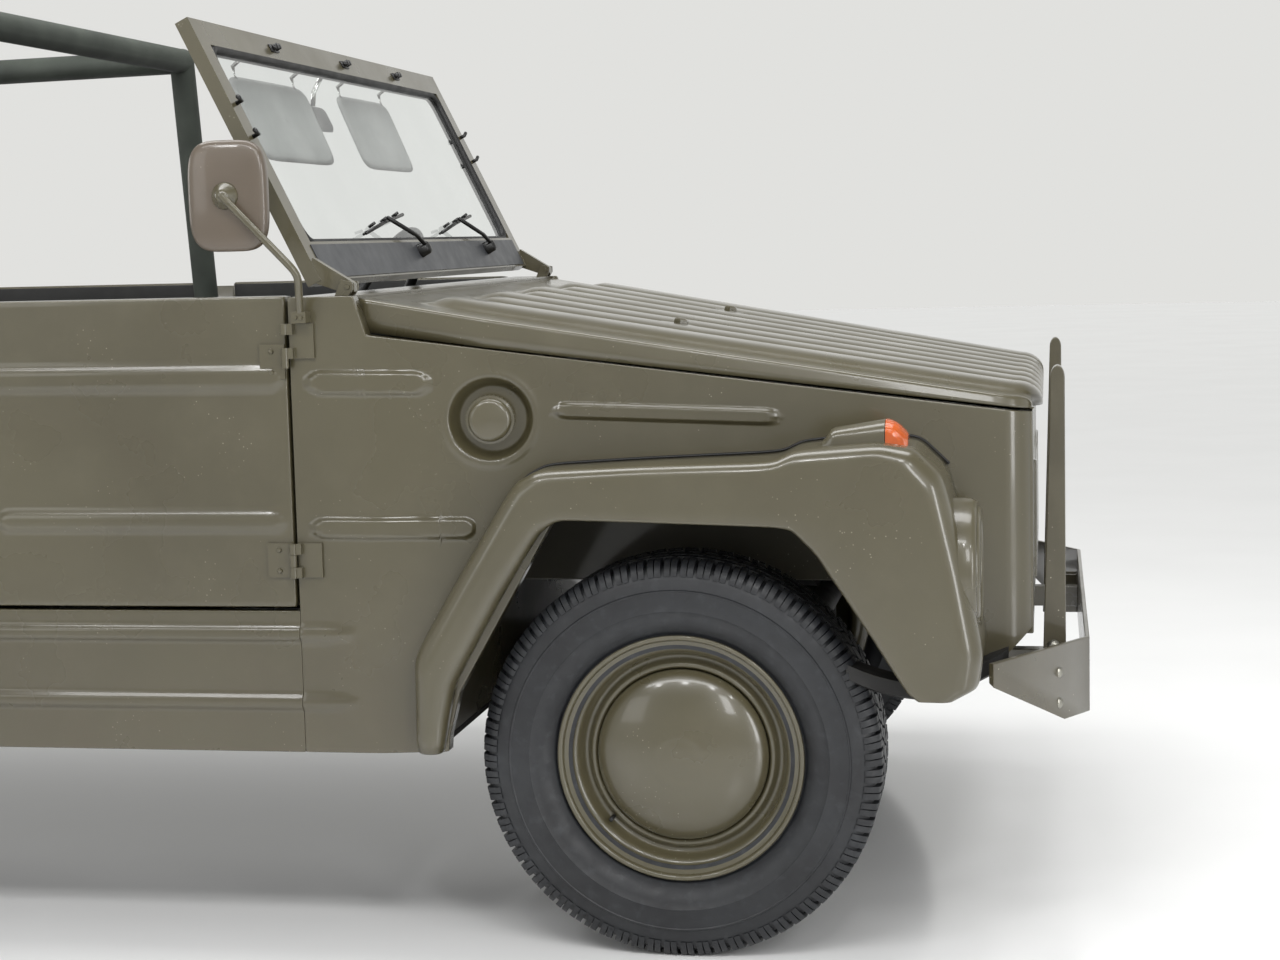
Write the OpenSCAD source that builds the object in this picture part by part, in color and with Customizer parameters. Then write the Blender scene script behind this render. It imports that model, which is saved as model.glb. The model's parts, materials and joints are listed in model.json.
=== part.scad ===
// Light open military car with four doors, a folding windscreen and a rear engine.
// +X is forward, +Y is the car's left, +Z is up, and z = 0 is the ground.

/* [Overall] */
// Length over the bumpers
car_len = 3780; // [3150:10:4540]
// Width over the wheel guards
car_w = 1640; // [1370:10:1970]
// Height of the belt line above the ground
belt_z = 1080; // [1000:5:1300]
// Height of the top of the raised windscreen
screen_z = 1525; // [1400:5:1800]
// Underside of the floor and the sills
floor_z = 335; // [280:5:400]

/* [Body panels] */
// Thickness of a door from skin to lining
door_t = 40; // [33:1:48]
// Thickness of the side panels and sills
wall_t = 28; // [23:1:34]
// Thickness of inner sheets such as floors and bulkheads
sheet_t = 12; // [8:1:16]
// Gap around every door and lid
gap = 6; // [5:1:10]
// Distance from the body side to the outside of a wheel guard
guard_w = 50; // [40:1:60]
// Height of the pressed ribs on the panels
rib_h = 5; // [3:1:8]

/* [Wheels] */
// Outer radius of the tyre
tyre_r = 325; // [270:1:390]
// Section width of the tyre
tyre_w = 185; // [154:1:222]
// Radius of the rim flange
rim_r = 201; // [168:1:215]
// Distance of a wheel's middle from the car's centre line
track_y = 662; // [620:1:700]
// Radius of the domed hub cap
cap_r = 138; // [115:1:150]

/* [Cabin] */
// Radius of the padded tubes of the roll bar
bar_r = 27; // [22:1:33]
// Height of the roll bar's cross tube
bar_z = 1575; // [1500:5:1800]
// Radius of the steering wheel
helm_r = 200; // [167:1:240]
// Width of a front seat
seat_w = 480; // [400:5:540]

/* [Output] */
// Sub-part to show

/* [Hidden] */
$fn = 48;
rest_len = 3780;
rest_w = 1640;
rest_belt = 1080;
tiny = 0.3;
// Stations named on the car at rest size, moved with the overall sizes
function along(v) = v * car_len / rest_len;
function across(v) = v * car_w / rest_w;
function up(v) = floor_z + (v - 335) * (belt_z - floor_z) / (rest_belt - 335);

side_y = car_w / 2 - guard_w;
wall_y = side_y - wall_t;
guard_y = car_w / 2;
nose_x = along(1800);
nose_y = across(575);
bend_x = along(757);
cowl_x = along(735);
dash_x = along(626);
front_door_x = along(620);
pillar_x = [along(-28), along(-78)];
rear_door_x = along(-720);
quarter_x = rear_door_x - gap;
axle_f = along(1240);
axle_r = along(-1160);
tail_x = along(-1770);
tail_knee = up(620);
kick_x = along(-760);
seat_pan_z = up(482);
deck_x = along(-1570);
toe_x = along(845);
door_z = up(575);
door_corner = 130;
cowl_z = belt_z - 2;
bonnet_side_z = [up(1015), up(864)];
bonnet_top_z = [up(1074), up(884)];
arch_z = tyre_r + 392;
guard_top = arch_z + 84;
guard_foot = floor_z + 3;
steer_sweep_y = across(700);
steer_sweep_r = tyre_r + 62;
taper = atan((side_y - nose_y) / (nose_x - bend_x));
// Distance of the body side from the centre line at a station ahead of the bend
function side_at(x) = side_y - (x - bend_x) * tan(taper);
lamp_x = axle_f + 482;
lamp_y = (side_at(axle_f + 450) + guard_y) / 2 + 1;
lamp_r = guard_y - lamp_y - 2;
lamp_z = up(634);

// ---- helpers ----

// Child outline (x, z) made solid between two distances from the centre line
module slab_y(y0, y1) {
    translate([0, y1, 0]) rotate([90, 0, 0]) linear_extrude(y1 - y0) children();
}

// Child outline (y, z) made solid between two stations
module slab_x(x0, x1) {
    translate([x0, 0, 0]) rotate([90, 0, 90]) linear_extrude(x1 - x0) children();
}

module both_sides() {
    children();
    mirror([0, 1, 0]) children();
}

// Right-hand copies are the mirror of the left-hand shape
module on_side(s) {
    if (s > 0) children();
    else mirror([0, 1, 0]) children();
}

module box(a, b) {
    translate(a) cube(b - a);
}

// Round tube between two points
module rod(a, b, r) {
    d = b - a;
    translate(a) rotate([0, acos(d[2] / norm(d)), atan2(d[1], d[0])]) cylinder(h = norm(d), r = r);
}

module disc_y(x, z, y0, y1, r) {
    translate([x, y1, z]) rotate([90, 0, 0]) cylinder(h = y1 - y0, r = r);
}

// Raised rib with pointed ends, from (x0, z0) to (x1, z1) on a side at y
module rib(x0, z0, x1, z1, h, y) {
    tip = h * 0.6;
    half = h / 2;
    slab_y(y, y + rib_h) polygon([
        [x0, z0], [x0 + tip, z0 + half], [x1 - tip, z1 + half],
        [x1, z1], [x1 - tip, z1 - half], [x0 + tip, z0 - half]]);
}

// Everything inboard of the body side, forward of the dash
module side_envelope() {
    out = side_y + tiny;
    translate([0, 0, -10]) linear_extrude(2000) polygon([
        [-3000, -50], [3000, -50], [nose_x, nose_y + tiny], [bend_x, out], [-3000, out]]);
}

// Room between the inner faces of the side walls
module inner_plan() {
    y = side_y - wall_t / cos(taper) - tiny;
    end_y = nose_y - wall_t / cos(taper) - tiny;
    linear_extrude(2000) polygon([[-3000, -y], [bend_x, -y], [nose_x, -end_y],
        [nose_x, end_y], [bend_x, y], [-3000, y]]);
}

// ---- body panels ----

// Outline of a wheel arch opening, rear edge first, around the axle at x
function arch_points(x, dir) = [
    [x - dir * 378, floor_z - 60], [x - dir * 378, guard_foot + 20],
    [x - dir * 359, up(431)], [x - dir * 195, arch_z + 4], [x + dir * 208, arch_z - 9],
    [x + dir * 366, up(456)], [x + dir * 378, floor_z - 60]];

module front_side(with_filler) {
    top = [[dash_x, cowl_z], [cowl_x - 2, cowl_z], [bend_x - 4, bonnet_side_z[0]],
        [nose_x, bonnet_side_z[1]]];
    foot = [[nose_x, up(515)], [along(1740), up(455)], [along(1680), up(430)], [along(1600), up(430)],
        [along(900), floor_z], [dash_x, floor_z]];
    difference() {
        intersection() {
            slab_y(0, side_y) polygon(concat(top, foot));
            union() {
                box([dash_x, wall_y, 0], [bend_x, side_y, 2000]);
                translate([bend_x, side_y, 0]) rotate([0, 0, -taper])
                    box([0, -wall_t, 0], [(nose_x - bend_x) * 1.1, 0, 2000]);
            }
        }
        slab_y(0, 2000) polygon(arch_points(axle_f, 1));
        if (with_filler)
            translate([filler_x, side_at(filler_x) - filler_deep, filler_z]) rotate([-90, 0, -taper])
                cylinder(h = 80, r = 64);
    }
    rib(along(655), up(941), bend_x - 2, up(938), 44, side_y);
    rib(along(655), up(705), bend_x - 2, up(703), 40, side_y);
    translate([bend_x, side_y, 0]) rotate([0, 0, -taper]) {
        rib(2, up(938), along(95), up(934), 44, 0);
        rib(2, up(703), along(160), up(700), 40, 0);
        rib(along(292), up(888), along(640), up(866), 30, 0);
    }
    rib(along(655), up(531), along(718), up(531), 28, side_y);
    rib(along(655), up(418), along(718), up(418), 28, side_y);
}

filler_x = along(946);
filler_z = up(876);
filler_deep = 20;

module front_sides() {
    color("#6b6550") {
        front_side(false);
        mirror([0, 1, 0]) front_side(true);
    }
}

// Door outline made solid, with one rounded lower corner towards the pillar
module door_block(x0, x1, grow, y0, y1) {
    r = door_corner + grow;
    lo = min(x0, x1) - grow;
    hi = max(x0, x1) + grow;
    round_x = x0 < x1 ? lo + r : hi - r;
    low = door_z - grow;
    top = belt_z + (grow > 0 ? 200 : 0);
    box([lo, y0, low + r], [hi, y1, top]);
    if (x0 < x1) box([round_x, y0, low], [hi, y1, low + r]);
    else box([lo, y0, low], [round_x, y1, low + r]);
    disc_y(round_x, low + r, y0, y1, r);
}

module sill() {
    difference() {
        box([quarter_x, wall_y, floor_z], [dash_x, side_y, up(1072)]);
        door_block(pillar_x[0] + gap, front_door_x, gap, 0, 2000);
        door_block(pillar_x[1] - gap, rear_door_x, gap, 0, 2000);
    }
    for (z = [531, 418]) rib(quarter_x + 25, up(z), dash_x - 2, up(z), 28, side_y);
}

module sills() {
    color("#6b6550") both_sides() sill();
}

module rear_quarter() {
    difference() {
        slab_y(wall_y, side_y) polygon([
            [quarter_x, floor_z], [axle_r + 378, floor_z], [axle_r - 378, up(440)], [tail_x, up(430)],
            [tail_x, tail_knee], [deck_x, up(1056)], [deck_x + 30, up(1066)], [quarter_x, belt_z - 2]]);
        slab_y(0, 2000) polygon(arch_points(axle_r, -1));
    }
    rib(along(-1500), up(942), quarter_x - 30, up(948), 44, side_y);
}

module rear_quarters() {
    color("#6b6550") both_sides() rear_quarter();
}

module nose_panel() {
    color("#6b6550") difference() {
        union() {
            box([nose_x - 20, -nose_y + wall_t + 1, up(500)],
                [nose_x, nose_y - wall_t - 1, bonnet_side_z[1]]);
            slab_x(nose_x, nose_x + rib_h) polygon([
                [-across(330), up(560)], [across(330), up(560)],
                [across(300), up(760)], [-across(300), up(760)]]);
        }
        box([nose_x - 60, -across(280), up(590)], [nose_x - 8, across(280), up(740)]);
    }
}

pin_r = gap / 2 - tiny;
lid_pin = [cowl_x - 12 + gap / 2, up(1071)];

// Scuttle top, dashboard face and bulkhead in front of the feet
module cowl() {
    y = side_y;
    color("#5f5a48") intersection() {
        inner_plan();
        slab_y(-y, y) polygon([
        [dash_x, up(880)], [dash_x, cowl_z], [cowl_x - 12, cowl_z], [cowl_x - 12, up(760)],
        [toe_x, up(760)], [toe_x, floor_z + sheet_t], [toe_x - sheet_t, floor_z + sheet_t],
        [toe_x - sheet_t, up(748)], [cowl_x - 24, up(748)], [cowl_x - 24, up(1052)],
        [dash_x + 14, up(1052)], [dash_x + 14, up(880)]]);
    }
    color("#5f5a48") both_sides() for (y = [180, 500]) {
        disc_y(lid_pin[0], lid_pin[1], across(y), across(y) + 60, pin_r);
        box([cowl_x - 14, across(y), lid_pin[1] - 2], [lid_pin[0], across(y) + 60, lid_pin[1] + 2]);
    }
    color("#6b6550") both_sides() for (y = [screen_y - 28, screen_y + 2])
        difference() {
            slab_y(y, y + 8) polygon([
                [screen_pin[0] - 22, cowl_z], [screen_pin[0] + 1, cowl_z],
                [screen_pin[0] + 8, screen_pin[1] - 4], [screen_pin[0] + 8, screen_pin[1] + 8],
                [screen_pin[0] - 10, screen_pin[1] + 12]]);
            disc_y(screen_pin[0], screen_pin[1], y - 1, y + 9, 4.2);
        }
}

// Floor of the front luggage bay, with the tops and sides of the wheel wells
module front_tray() {
    well_y = across(372);
    well_z = up(742);
    low_z = up(560);
    color("#4d4a3d") intersection() {
        slab_x(toe_x, nose_x - 20) polygon([
            [-side_y, well_z], [-side_y, well_z - sheet_t], [-well_y, well_z - sheet_t], [-well_y, low_z],
            [well_y, low_z], [well_y, well_z - sheet_t], [side_y, well_z - sheet_t], [side_y, well_z],
            [well_y - sheet_t, well_z], [well_y - sheet_t, low_z + sheet_t],
            [-well_y + sheet_t, low_z + sheet_t], [-well_y + sheet_t, well_z]]);
        inner_plan();
    }
}

module floor_pan() {
    tunnel = 110;
    head_y = across(300);
    color("#3d3b32") {
        intersection() {
            box([kick_x, -wall_y, floor_z], [toe_x, wall_y, floor_z + sheet_t]);
            inner_plan();
        }
        box([kick_x, -tunnel, floor_z + sheet_t], [toe_x - sheet_t, tunnel, floor_z + 140]);
        box([toe_x, -head_y, floor_z - 40], [beam_x - 39, head_y, floor_z + 40]);
        box([beam_x - 39, -head_y, floor_z - 85], [beam_x - 27, head_y, floor_z + 85]);
    }
}

// Back wall of the cabin, luggage shelf over the gearbox, engine bay wall and rear deck
module rear_deck() {
    x0 = along(-1000);
    x1 = along(-1300);
    shelf = up(700);
    t = sheet_t;
    well = across(530);
    y = wall_y - tiny;
    pan = seat_pan_z;
    color("#5f5a48") {
        difference() {
            slab_y(-y, y) polygon([
                [kick_x - t, floor_z], [kick_x - tiny, floor_z], [kick_x - tiny, pan], [x0, pan],
                [x0, shelf + t], [x1, shelf + t], [x1, up(1056)],
                [deck_x, up(1056)], [deck_x, up(1056) - t], [x1 - t, up(1056) - t],
                [x1 - t, shelf], [x0 - t, shelf], [x0 - t, pan - t], [kick_x - t, pan - t]]);
            both_sides() box([x0 - t - 1, well + t, 0], [kick_x - t, y + 1, shelf]);
        }
        both_sides() {
            box([axle_r - 400, well, up(430)], [x0 - t, well + t, shelf]);
            box([x0 - t, well, pan - t], [kick_x - t, well + t, shelf + t]);
            box([x0, well + t, shelf], [kick_x - tiny, y, shelf + t]);
            box([kick_x - t, well, pan], [kick_x - tiny, y, shelf]);
            box([axle_r - 400, well, shelf], [x1 - t, y, shelf + t]);
        }
    }
}

tail_tilt = atan((deck_x - tail_x) / (up(1056) - tail_knee));
lid_w = across(840);
lid_top = 60;
lid_h = 360;

// Child placed on the sloping tail: x across, y down the slope from the deck, z outwards
module on_tail() {
    translate([deck_x, 0, up(1056)]) rotate([0, tail_tilt, 0]) rotate([-90, 0, 90]) children();
}

module tail_panel() {
    slope = norm([deck_x - tail_x, up(1056) - tail_knee]);
    y = wall_y - tiny;
    color("#6b6550") {
        difference() {
            on_tail() box([-y, 0, -16], [y, slope, 0]);
            on_tail() box([-lid_w / 2 - gap, lid_top - gap, -40],
                [lid_w / 2 + gap, lid_top + lid_h + gap, 20]);
            box([deck_x, -1000, up(1000)], [deck_x + 60, 1000, up(1200)]);
        }
        box([tail_x, -y, up(430)], [tail_x + 16, y, tail_knee]);
        both_sides() on_tail() {
            translate([across(240), lid_top - gap / 2, 0]) rotate([0, 90, 0])
                cylinder(h = 60, r = pin_r);
            box([across(240), lid_top - gap - 4, -pin_r],
                [across(240) + 60, lid_top - gap / 2, 0]);
        }
    }
}

module engine_lid() {
    color("#6b6550") {
        on_tail() box([-lid_w / 2, lid_top, -16], [lid_w / 2, lid_top + lid_h, 0]);
        for (k = [0:5])
            on_tail() box([-lid_w / 2 + 90, lid_top + 60 + k * 40, 0],
                [lid_w / 2 - 90, lid_top + 78 + k * 40, 5]);
    }
}

// ---- wheel guards ----

module front_guard() {
    arch = arch_points(axle_f, 1);
    a = axle_f;
    difference() {
        slab_y(0, guard_y) polygon([
            [a - 417, guard_foot], [a - 417, up(508)], [a - 238, guard_top - 16], [a - 210, guard_top],
            [a + 174, guard_top + 10], [a + 205, guard_top + 28], [a + 330, guard_top + 34],
            [a + 400, guard_top + 4], [a + 427, guard_top - 26], [a + 486, up(505)],
            [a + 482, up(456)], [a + 450, up(440)], [a + 372, up(440)]]);
        slab_y(0, 2000) polygon(concat(arch, [[a + 366, floor_z - 60]]));
        side_envelope();
        disc_y(a, tyre_r, 0, steer_sweep_y, steer_sweep_r);
        slab_y(0, guard_y - 10) polygon([
            [a + 150, up(380)], [a + 150, guard_top - 12], [a + 380, guard_top - 14],
            [a + 415, guard_top - 34], [a + 470, up(505)], [a + 466, up(380)]]);
    }
    difference() {
        box([a + 330, nose_y - 60, up(530)], [a + 340, guard_y - 10, guard_top - 16]);
        side_envelope();
    }
}

// Round pod around a headlamp, open to the front
module lamp_pod(grow) {
    translate([lamp_x - 120, lamp_y, lamp_z]) rotate([0, 90, 0]) cylinder(h = 114 + grow, r = lamp_r);
}

module front_guards() {
    color("#6b6550") both_sides() difference() {
        union() {
            front_guard();
            difference() {
                lamp_pod(0);
                side_envelope();
            }
        }
        translate([lamp_x - 64, lamp_y, lamp_z]) rotate([0, 90, 0])
            cylinder(h = 200, r = lamp_r - 11);
    }
}

module rear_guard() {
    a = axle_r;
    difference() {
        slab_y(side_y, guard_y) polygon([
            [a + 417, guard_foot], [a + 417, up(508)], [a + 238, guard_top - 16], [a + 210, guard_top],
            [a - 210, guard_top], [a - 240, guard_top - 16], [a - 440, up(508)], [a - 440, up(440)],
            [a - 372, up(440)]]);
        slab_y(0, 2000) polygon(arch_points(a, -1));
    }
}

module rear_guards() {
    color("#6b6550") both_sides() rear_guard();
}

// ---- bumpers ----

tow_r = 14;
bumper_x = car_len / 2;
bar_x = bumper_x - 58;
bumper_z = [up(365), up(490)];
guard_bar_y = across(480);

module bumper_half() {
    bend = guard_bar_y + 30;
    slab = 8;
    translate([0, 0, bumper_z[0]]) linear_extrude(bumper_z[1] - bumper_z[0]) polygon([
        [bumper_x, -1], [bumper_x, bend], [bumper_x - slab, bend], [bumper_x - slab, -1]]);
    difference() {
        translate([0, 0, bumper_z[0]]) linear_extrude(bumper_z[1] - bumper_z[0]) polygon([
            [bumper_x, bend], [bumper_x - 150, across(760)],
            [bumper_x - 158, across(752)], [bumper_x - slab, bend]]);
        slab_y(0, 1000) polygon([
            [bumper_x + 1, bumper_z[0] - 1], [bumper_x - 40, bumper_z[0] - 1],
            [bumper_x - 160, bumper_z[1] - 30], [bumper_x - 160, bumper_z[0] - 1]]);
    }
    box([bar_x - 20, guard_bar_y - 18, bumper_z[0]], [bar_x + 20, guard_bar_y + 18, up(915)]);
    disc_y(bar_x, up(915), guard_bar_y - 18, guard_bar_y + 18, 20);
    box([bar_x, guard_bar_y - 18, bumper_z[0]], [bumper_x - slab, guard_bar_y + 18, bumper_z[0] + 80]);
    slab_y(across(330), across(360)) polygon([
        [nose_x - 100, up(400)], [bumper_x - slab, up(400)], [bumper_x - slab, up(440)],
        [nose_x - 40, up(440)], [nose_x - 40, up(560) - tiny], [nose_x - 100, up(560) - tiny]]);
}

module front_bumper() {
    color("#6b6550") both_sides() bumper_half();
}

module rear_bumper() {
    color("#6b6550") both_sides() {
        translate([0, 0, bumper_z[0]]) linear_extrude(bumper_z[1] - bumper_z[0]) polygon([
            [-bumper_x, -1], [-bumper_x, guard_bar_y + 30], [-bumper_x + 110, across(760)],
            [-bumper_x + 118, across(752)], [-bumper_x + 8, guard_bar_y + 30], [-bumper_x + 8, -1]]);
        box([-bumper_x + 8, guard_bar_y - 18, bumper_z[0]], [-bumper_x + 50, guard_bar_y + 18, up(700)]);
        slab_y(across(380), across(410)) polygon([
            [-bumper_x + 8, up(400)], [tail_x - 60, up(355)], [tail_x - 10, up(355)],
            [tail_x + 100, up(400)], [tail_x + 100, up(430) - tiny], [-bumper_x + 8, up(430) - tiny]]);
        difference() {
            box([tail_x - 58, across(358) - 24, up(370) - 8], [tail_x - 12, across(380) + 1, up(370) + 8]);
            translate([tail_x - 35, across(358), 0]) cylinder(h = 1000, r = tow_r);
        }
    }
}

// ---- lids and doors ----

rib_count = 9;

// Sheet bonnet: a sloping top with ribs, turned-down sides and front
module bonnet() {
    x0 = cowl_x - 12 + gap;
    x1 = nose_x;
    rear_y = side_y - 40;
    front_y = nose_y - 6;
    plan = [[x0, -rear_y], [x1, -front_y], [x1, front_y], [x0, rear_y]];
    slope = (bonnet_top_z[1] - bonnet_top_z[0]) / (x1 - x0);
    color("#6b6550") {
        difference() {
            intersection() {
                linear_extrude(2000) polygon(plan);
                slab_y(-1000, 1000) polygon([
                    [x0, bonnet_top_z[0]], [x1 - 25, bonnet_top_z[1] + 4], [x1, bonnet_top_z[1] - 12],
                    [x1, bonnet_side_z[1] + gap], [x0 + 22, bonnet_side_z[0] + gap],
                    [x0, bonnet_side_z[0] + 30]]);
            }
            intersection() {
                translate([0, 0, -10]) linear_extrude(2000) polygon([
                    [x0 - 1, -rear_y + 12], [x1 - 12, -front_y + 12],
                    [x1 - 12, front_y - 12], [x0 - 1, rear_y - 12]]);
                slab_y(-1000, 1000) polygon([
                    [x0 - 1, bonnet_top_z[0] - 14], [x1 + 1, bonnet_top_z[1] - 14],
                    [x1 + 1, up(700)], [x0 - 1, up(700)]]);
            }
        }
        for (k = [0:rib_count - 1]) {
            share = (k - (rib_count - 1) / 2) / (rib_count / 2);
            y = share * (front_y - 30);
            fan = atan(share * (rear_y - front_y) * 0.7 / (x1 - x0));
            translate([x1 - 30, y, bonnet_top_z[1] + 30 * -slope - 2]) rotate([0, 0, -fan])
                rotate([0, -atan(slope) , 0]) box([along(-900), -16, 0], [0, 16, 9]);
        }
    }
}

module front_door() {
    y0 = side_y - door_t;
    door_block(pillar_x[0] + gap, front_door_x, 0, y0, side_y);
    rib(along(-10), up(952), along(612), up(948), 42, side_y);
    rib(along(110), up(717), along(606), up(716), 34, side_y);
    for (z = hinge_z) translate([dash_x - gap / 2, side_y, up(z)]) door_leaf();
    box([along(20), side_y, up(1010)], [along(90), side_y + 22, up(1024)]);
}

module rear_door() {
    y0 = side_y - door_t;
    door_block(pillar_x[1] - gap, rear_door_x, 0, y0, side_y);
    rib(along(-712), up(952), along(-96), up(948), 42, side_y);
    rib(along(-706), up(717), along(-216), up(716), 34, side_y);
    for (z = hinge_z)
        translate([quarter_x + gap / 2, side_y, up(z)]) scale_x(-1) door_leaf();
    box([along(-196), side_y, up(1010)], [along(-126), side_y + 22, up(1024)]);
}

module door_front_right() {
    color("#6b6550") on_side(-1) front_door();
}

module door_front_left() {
    color("#6b6550") on_side(1) front_door();
}

module door_rear_right() {
    color("#6b6550") on_side(-1) rear_door();
}

module door_rear_left() {
    color("#6b6550") on_side(1) rear_door();
}

screen_pin = [along(720), up(1092)];
hinge_z = [1008, 653];
pin_out = 13;

// Child kept, or turned end for end along the car
module scale_x(side) {
    if (side > 0) children();
    else mirror([1, 0, 0]) children();
}

// Moving leaf of a door hinge, in the frame of its pin, towards -x
module door_leaf() {
    box([-46, 0, -28], [-gap / 2 - 1, 5, 28]);
    translate([0, pin_out, -10]) cylinder(h = 20, r = 6);
    box([-14, pin_out - 2, -10], [0, pin_out + 2, 10]);
    box([-14, 0, -10], [-gap / 2 - 3, pin_out, 10]);
}

// Fixed leaves and pins of the door hinges

module hinge_leaves() {
    color("#6b6550") both_sides() for (z = hinge_z, side = [1, -1])
        translate([side > 0 ? dash_x - gap / 2 : quarter_x + gap / 2, side_y, up(z)]) scale_x(side) {
            box([gap / 2 + 3, tiny, -28], [46, 5, 28]);
            for (low = [-28, 10.5]) {
                translate([0, pin_out, low]) cylinder(h = 17.5, r = 6);
                box([0, pin_out - 2, low], [14, pin_out + 2, low + 17.5]);
                box([gap / 2 + 3, tiny, low], [14, pin_out, low + 17.5]);
            }
        }
}

// ---- windscreen ----

screen_y = across(738);
screen_base = [along(662), up(1098)];
screen_lean = 25.8;
screen_h = (screen_z - screen_base[1]) / cos(screen_lean);

// Child placed on the screen: x across, y up the screen, z forwards
module on_screen() {
    translate([screen_base[0], 0, screen_base[1]]) rotate([0, -screen_lean, 0]) rotate([90, 0, 90])
        children();
}

module screen_frame() {
    bar = 46;
    color("#6b6550") {
        on_screen() difference() {
            box([-screen_y, 0, -12], [screen_y, screen_h, 12]);
            box([-screen_y + bar, 70, -20], [screen_y - bar, screen_h - bar, 20]);
        }
        both_sides() slab_y(screen_y - 18, screen_y - 1) polygon([
            [screen_base[0] - 14, up(1112)], [screen_base[0] - 2, up(1140)],
            [screen_pin[0] + 8, screen_pin[1] + 6], [screen_pin[0] + 8, screen_pin[1] - 8],
            [screen_pin[0] - 20, screen_pin[1] - 6], [screen_base[0], screen_base[1] + 1]]);
        both_sides() disc_y(screen_pin[0], screen_pin[1], screen_y - 30, screen_y + 12, 4);
    }
}

module screen_glass() {
    bar = 46;
    color("#c8d8d8", 0.4) on_screen()
        box([-screen_y + bar, 70, -3], [screen_y - bar, screen_h - bar, 3]);
}

module wipers() {
    color("#202020") for (y = [-30, 430])
        on_screen() {
            translate([across(y), 45, 12]) cylinder(h = 16, r = 14);
            translate([across(y), 45, 20]) rotate([0, 0, 165]) box([0, -5, 0], [300, 5, 6]);
        }
}

// ---- cabin ----

module roll_bar() {
    foot = [along(-72), across(692), up(1000)];
    top = [along(-72), across(600), bar_z];
    back = [along(-900), across(600), bar_z - 15];
    down = [along(-1200), across(640), up(726)];
    color("#3c4238") {
        both_sides() {
            rod(foot, top, bar_r);
            translate(top) sphere(r = bar_r + 1);
            rod(top, back, bar_r);
            translate(back) sphere(r = bar_r + 1);
            rod(back, down, bar_r);
            box([pillar_x[1] + 4, foot[1], up(990)], [pillar_x[0] - 2, wall_y - tiny, up(1046)]);
            box([down[0] - 40, down[1] - 40, up(712) + tiny], [down[0] + 40, down[1] + 40, up(724)]);
        }
        rod(top, [top[0], -top[1], top[2]], bar_r);
    }
}

// Seat with its base, in its own frame: x forward from the back, y across, z from the floor
module seat(w) {
    slab_y(-w / 2, w / 2) polygon([
        [0, 180], [460, 180], [470, 200], [470, 300], [440, 325], [60, 300], [-60, 690], [-85, 700],
        [-140, 690], [-150, 670], [-30, 260]]);
    slab_y(-w / 2 + 40, w / 2 - 40) polygon([[20, 0], [440, 0], [440, 180], [20, 180]]);
}

module front_seats() {
    color("#1f1f1e") both_sides()
        translate([along(-60), across(345), floor_z + sheet_t]) seat(seat_w);
}

module rear_bench() {
    color("#1f1f1e") translate([along(-790), 0, seat_pan_z + tiny]) slab_y(-across(520), across(520)) polygon([
        [0, 0], [430, 0], [440, 30], [440, 150], [410, 175], [60, 150], [-30, 540], [-60, 550],
        [-110, 540], [-120, 520], [-30, 110]]);
}

helm_y = across(345);
helm_x = along(430);
helm_z = up(1015);
helm_tilt = 118;

module on_column() {
    translate([helm_x, helm_y, helm_z]) rotate([0, helm_tilt, 0]) children();
}

module steering_wheel() {
    color("#161616") on_column() {
        rotate_extrude($fn = 96) translate([helm_r - 11, 0]) circle(r = 11);
        translate([0, 0, -4]) cylinder(h = 30, r = 30);
        for (a = [90, 270]) rotate([0, 0, a]) box([25, -12, 0], [helm_r - 15, 12, 8]);
    }
}

module steering_column() {
    color("#161616") difference() {
        on_column() translate([0, 0, 26 + tiny]) cylinder(h = 420, r = 22);
        box([dash_x - tiny, 0, 0], [2000, 1000, 2000]);
    }
}

module mirror_right() {
    head = [along(545), side_y + 30, up(1241)];
    ball_y = head[1] + 30;
    knee = [along(662), side_y + 48, up(1115)];
    foot = [along(652), side_y + 16, up(1045)];
    color("#6b6550") mirror([0, 1, 0]) {
        slab_y(head[1] - 14, head[1] + 14) polygon([
            [head[0] - 65, head[2] - 70], [head[0] - 50, head[2] - 88], [head[0] + 50, head[2] - 88],
            [head[0] + 65, head[2] - 70], [head[0] + 65, head[2] + 70], [head[0] + 50, head[2] + 88],
            [head[0] - 50, head[2] + 88], [head[0] - 65, head[2] + 70]]);
        disc_y(head[0], head[2], head[1] + 13, ball_y, 16);
        rod([head[0], ball_y - 4, head[2]], knee, 6);
        translate(knee) sphere(r = 7.5);
        rod(knee, foot, 6);
        box([foot[0] - 12, side_y + tiny, up(1037)], [foot[0] + 12, side_y + 26, up(1055)]);
    }
}

module headlamps() {
    color("#d8d8d0") both_sides() {
        translate([lamp_x - 62, lamp_y, lamp_z]) rotate([0, 90, 0]) cylinder(h = 62, r = lamp_r - 12);
    }
}

module indicators() {
    color("#d8791c") both_sides()
        slab_y(side_y - 55, side_y - 5) polygon([
            [axle_f + 240, guard_top + 31], [axle_f + 262, guard_top + 55],
            [axle_f + 345, guard_top + 68], [axle_f + 371, guard_top + 60],
            [axle_f + 374, guard_top + 36], [axle_f + 330, guard_top + 35]]);
}

module tail_lamps() {
    color("#8a1d16") both_sides()
        box([tail_x - 40, across(600), up(505)], [tail_x - tiny, across(720), up(600)]);
}

module filler_cap() {
    color("#6b6550") mirror([0, 1, 0])
        translate([filler_x, side_at(filler_x) - filler_deep + tiny, filler_z])
            rotate([-90, 0, -taper]) {
                cylinder(h = 18, r = 30);
                translate([0, 0, 18]) cylinder(h = 24, r = 39);
            }
}

// ---- running gear ----

beam_x = axle_f + 130;
arm_y = across(455);

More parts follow.
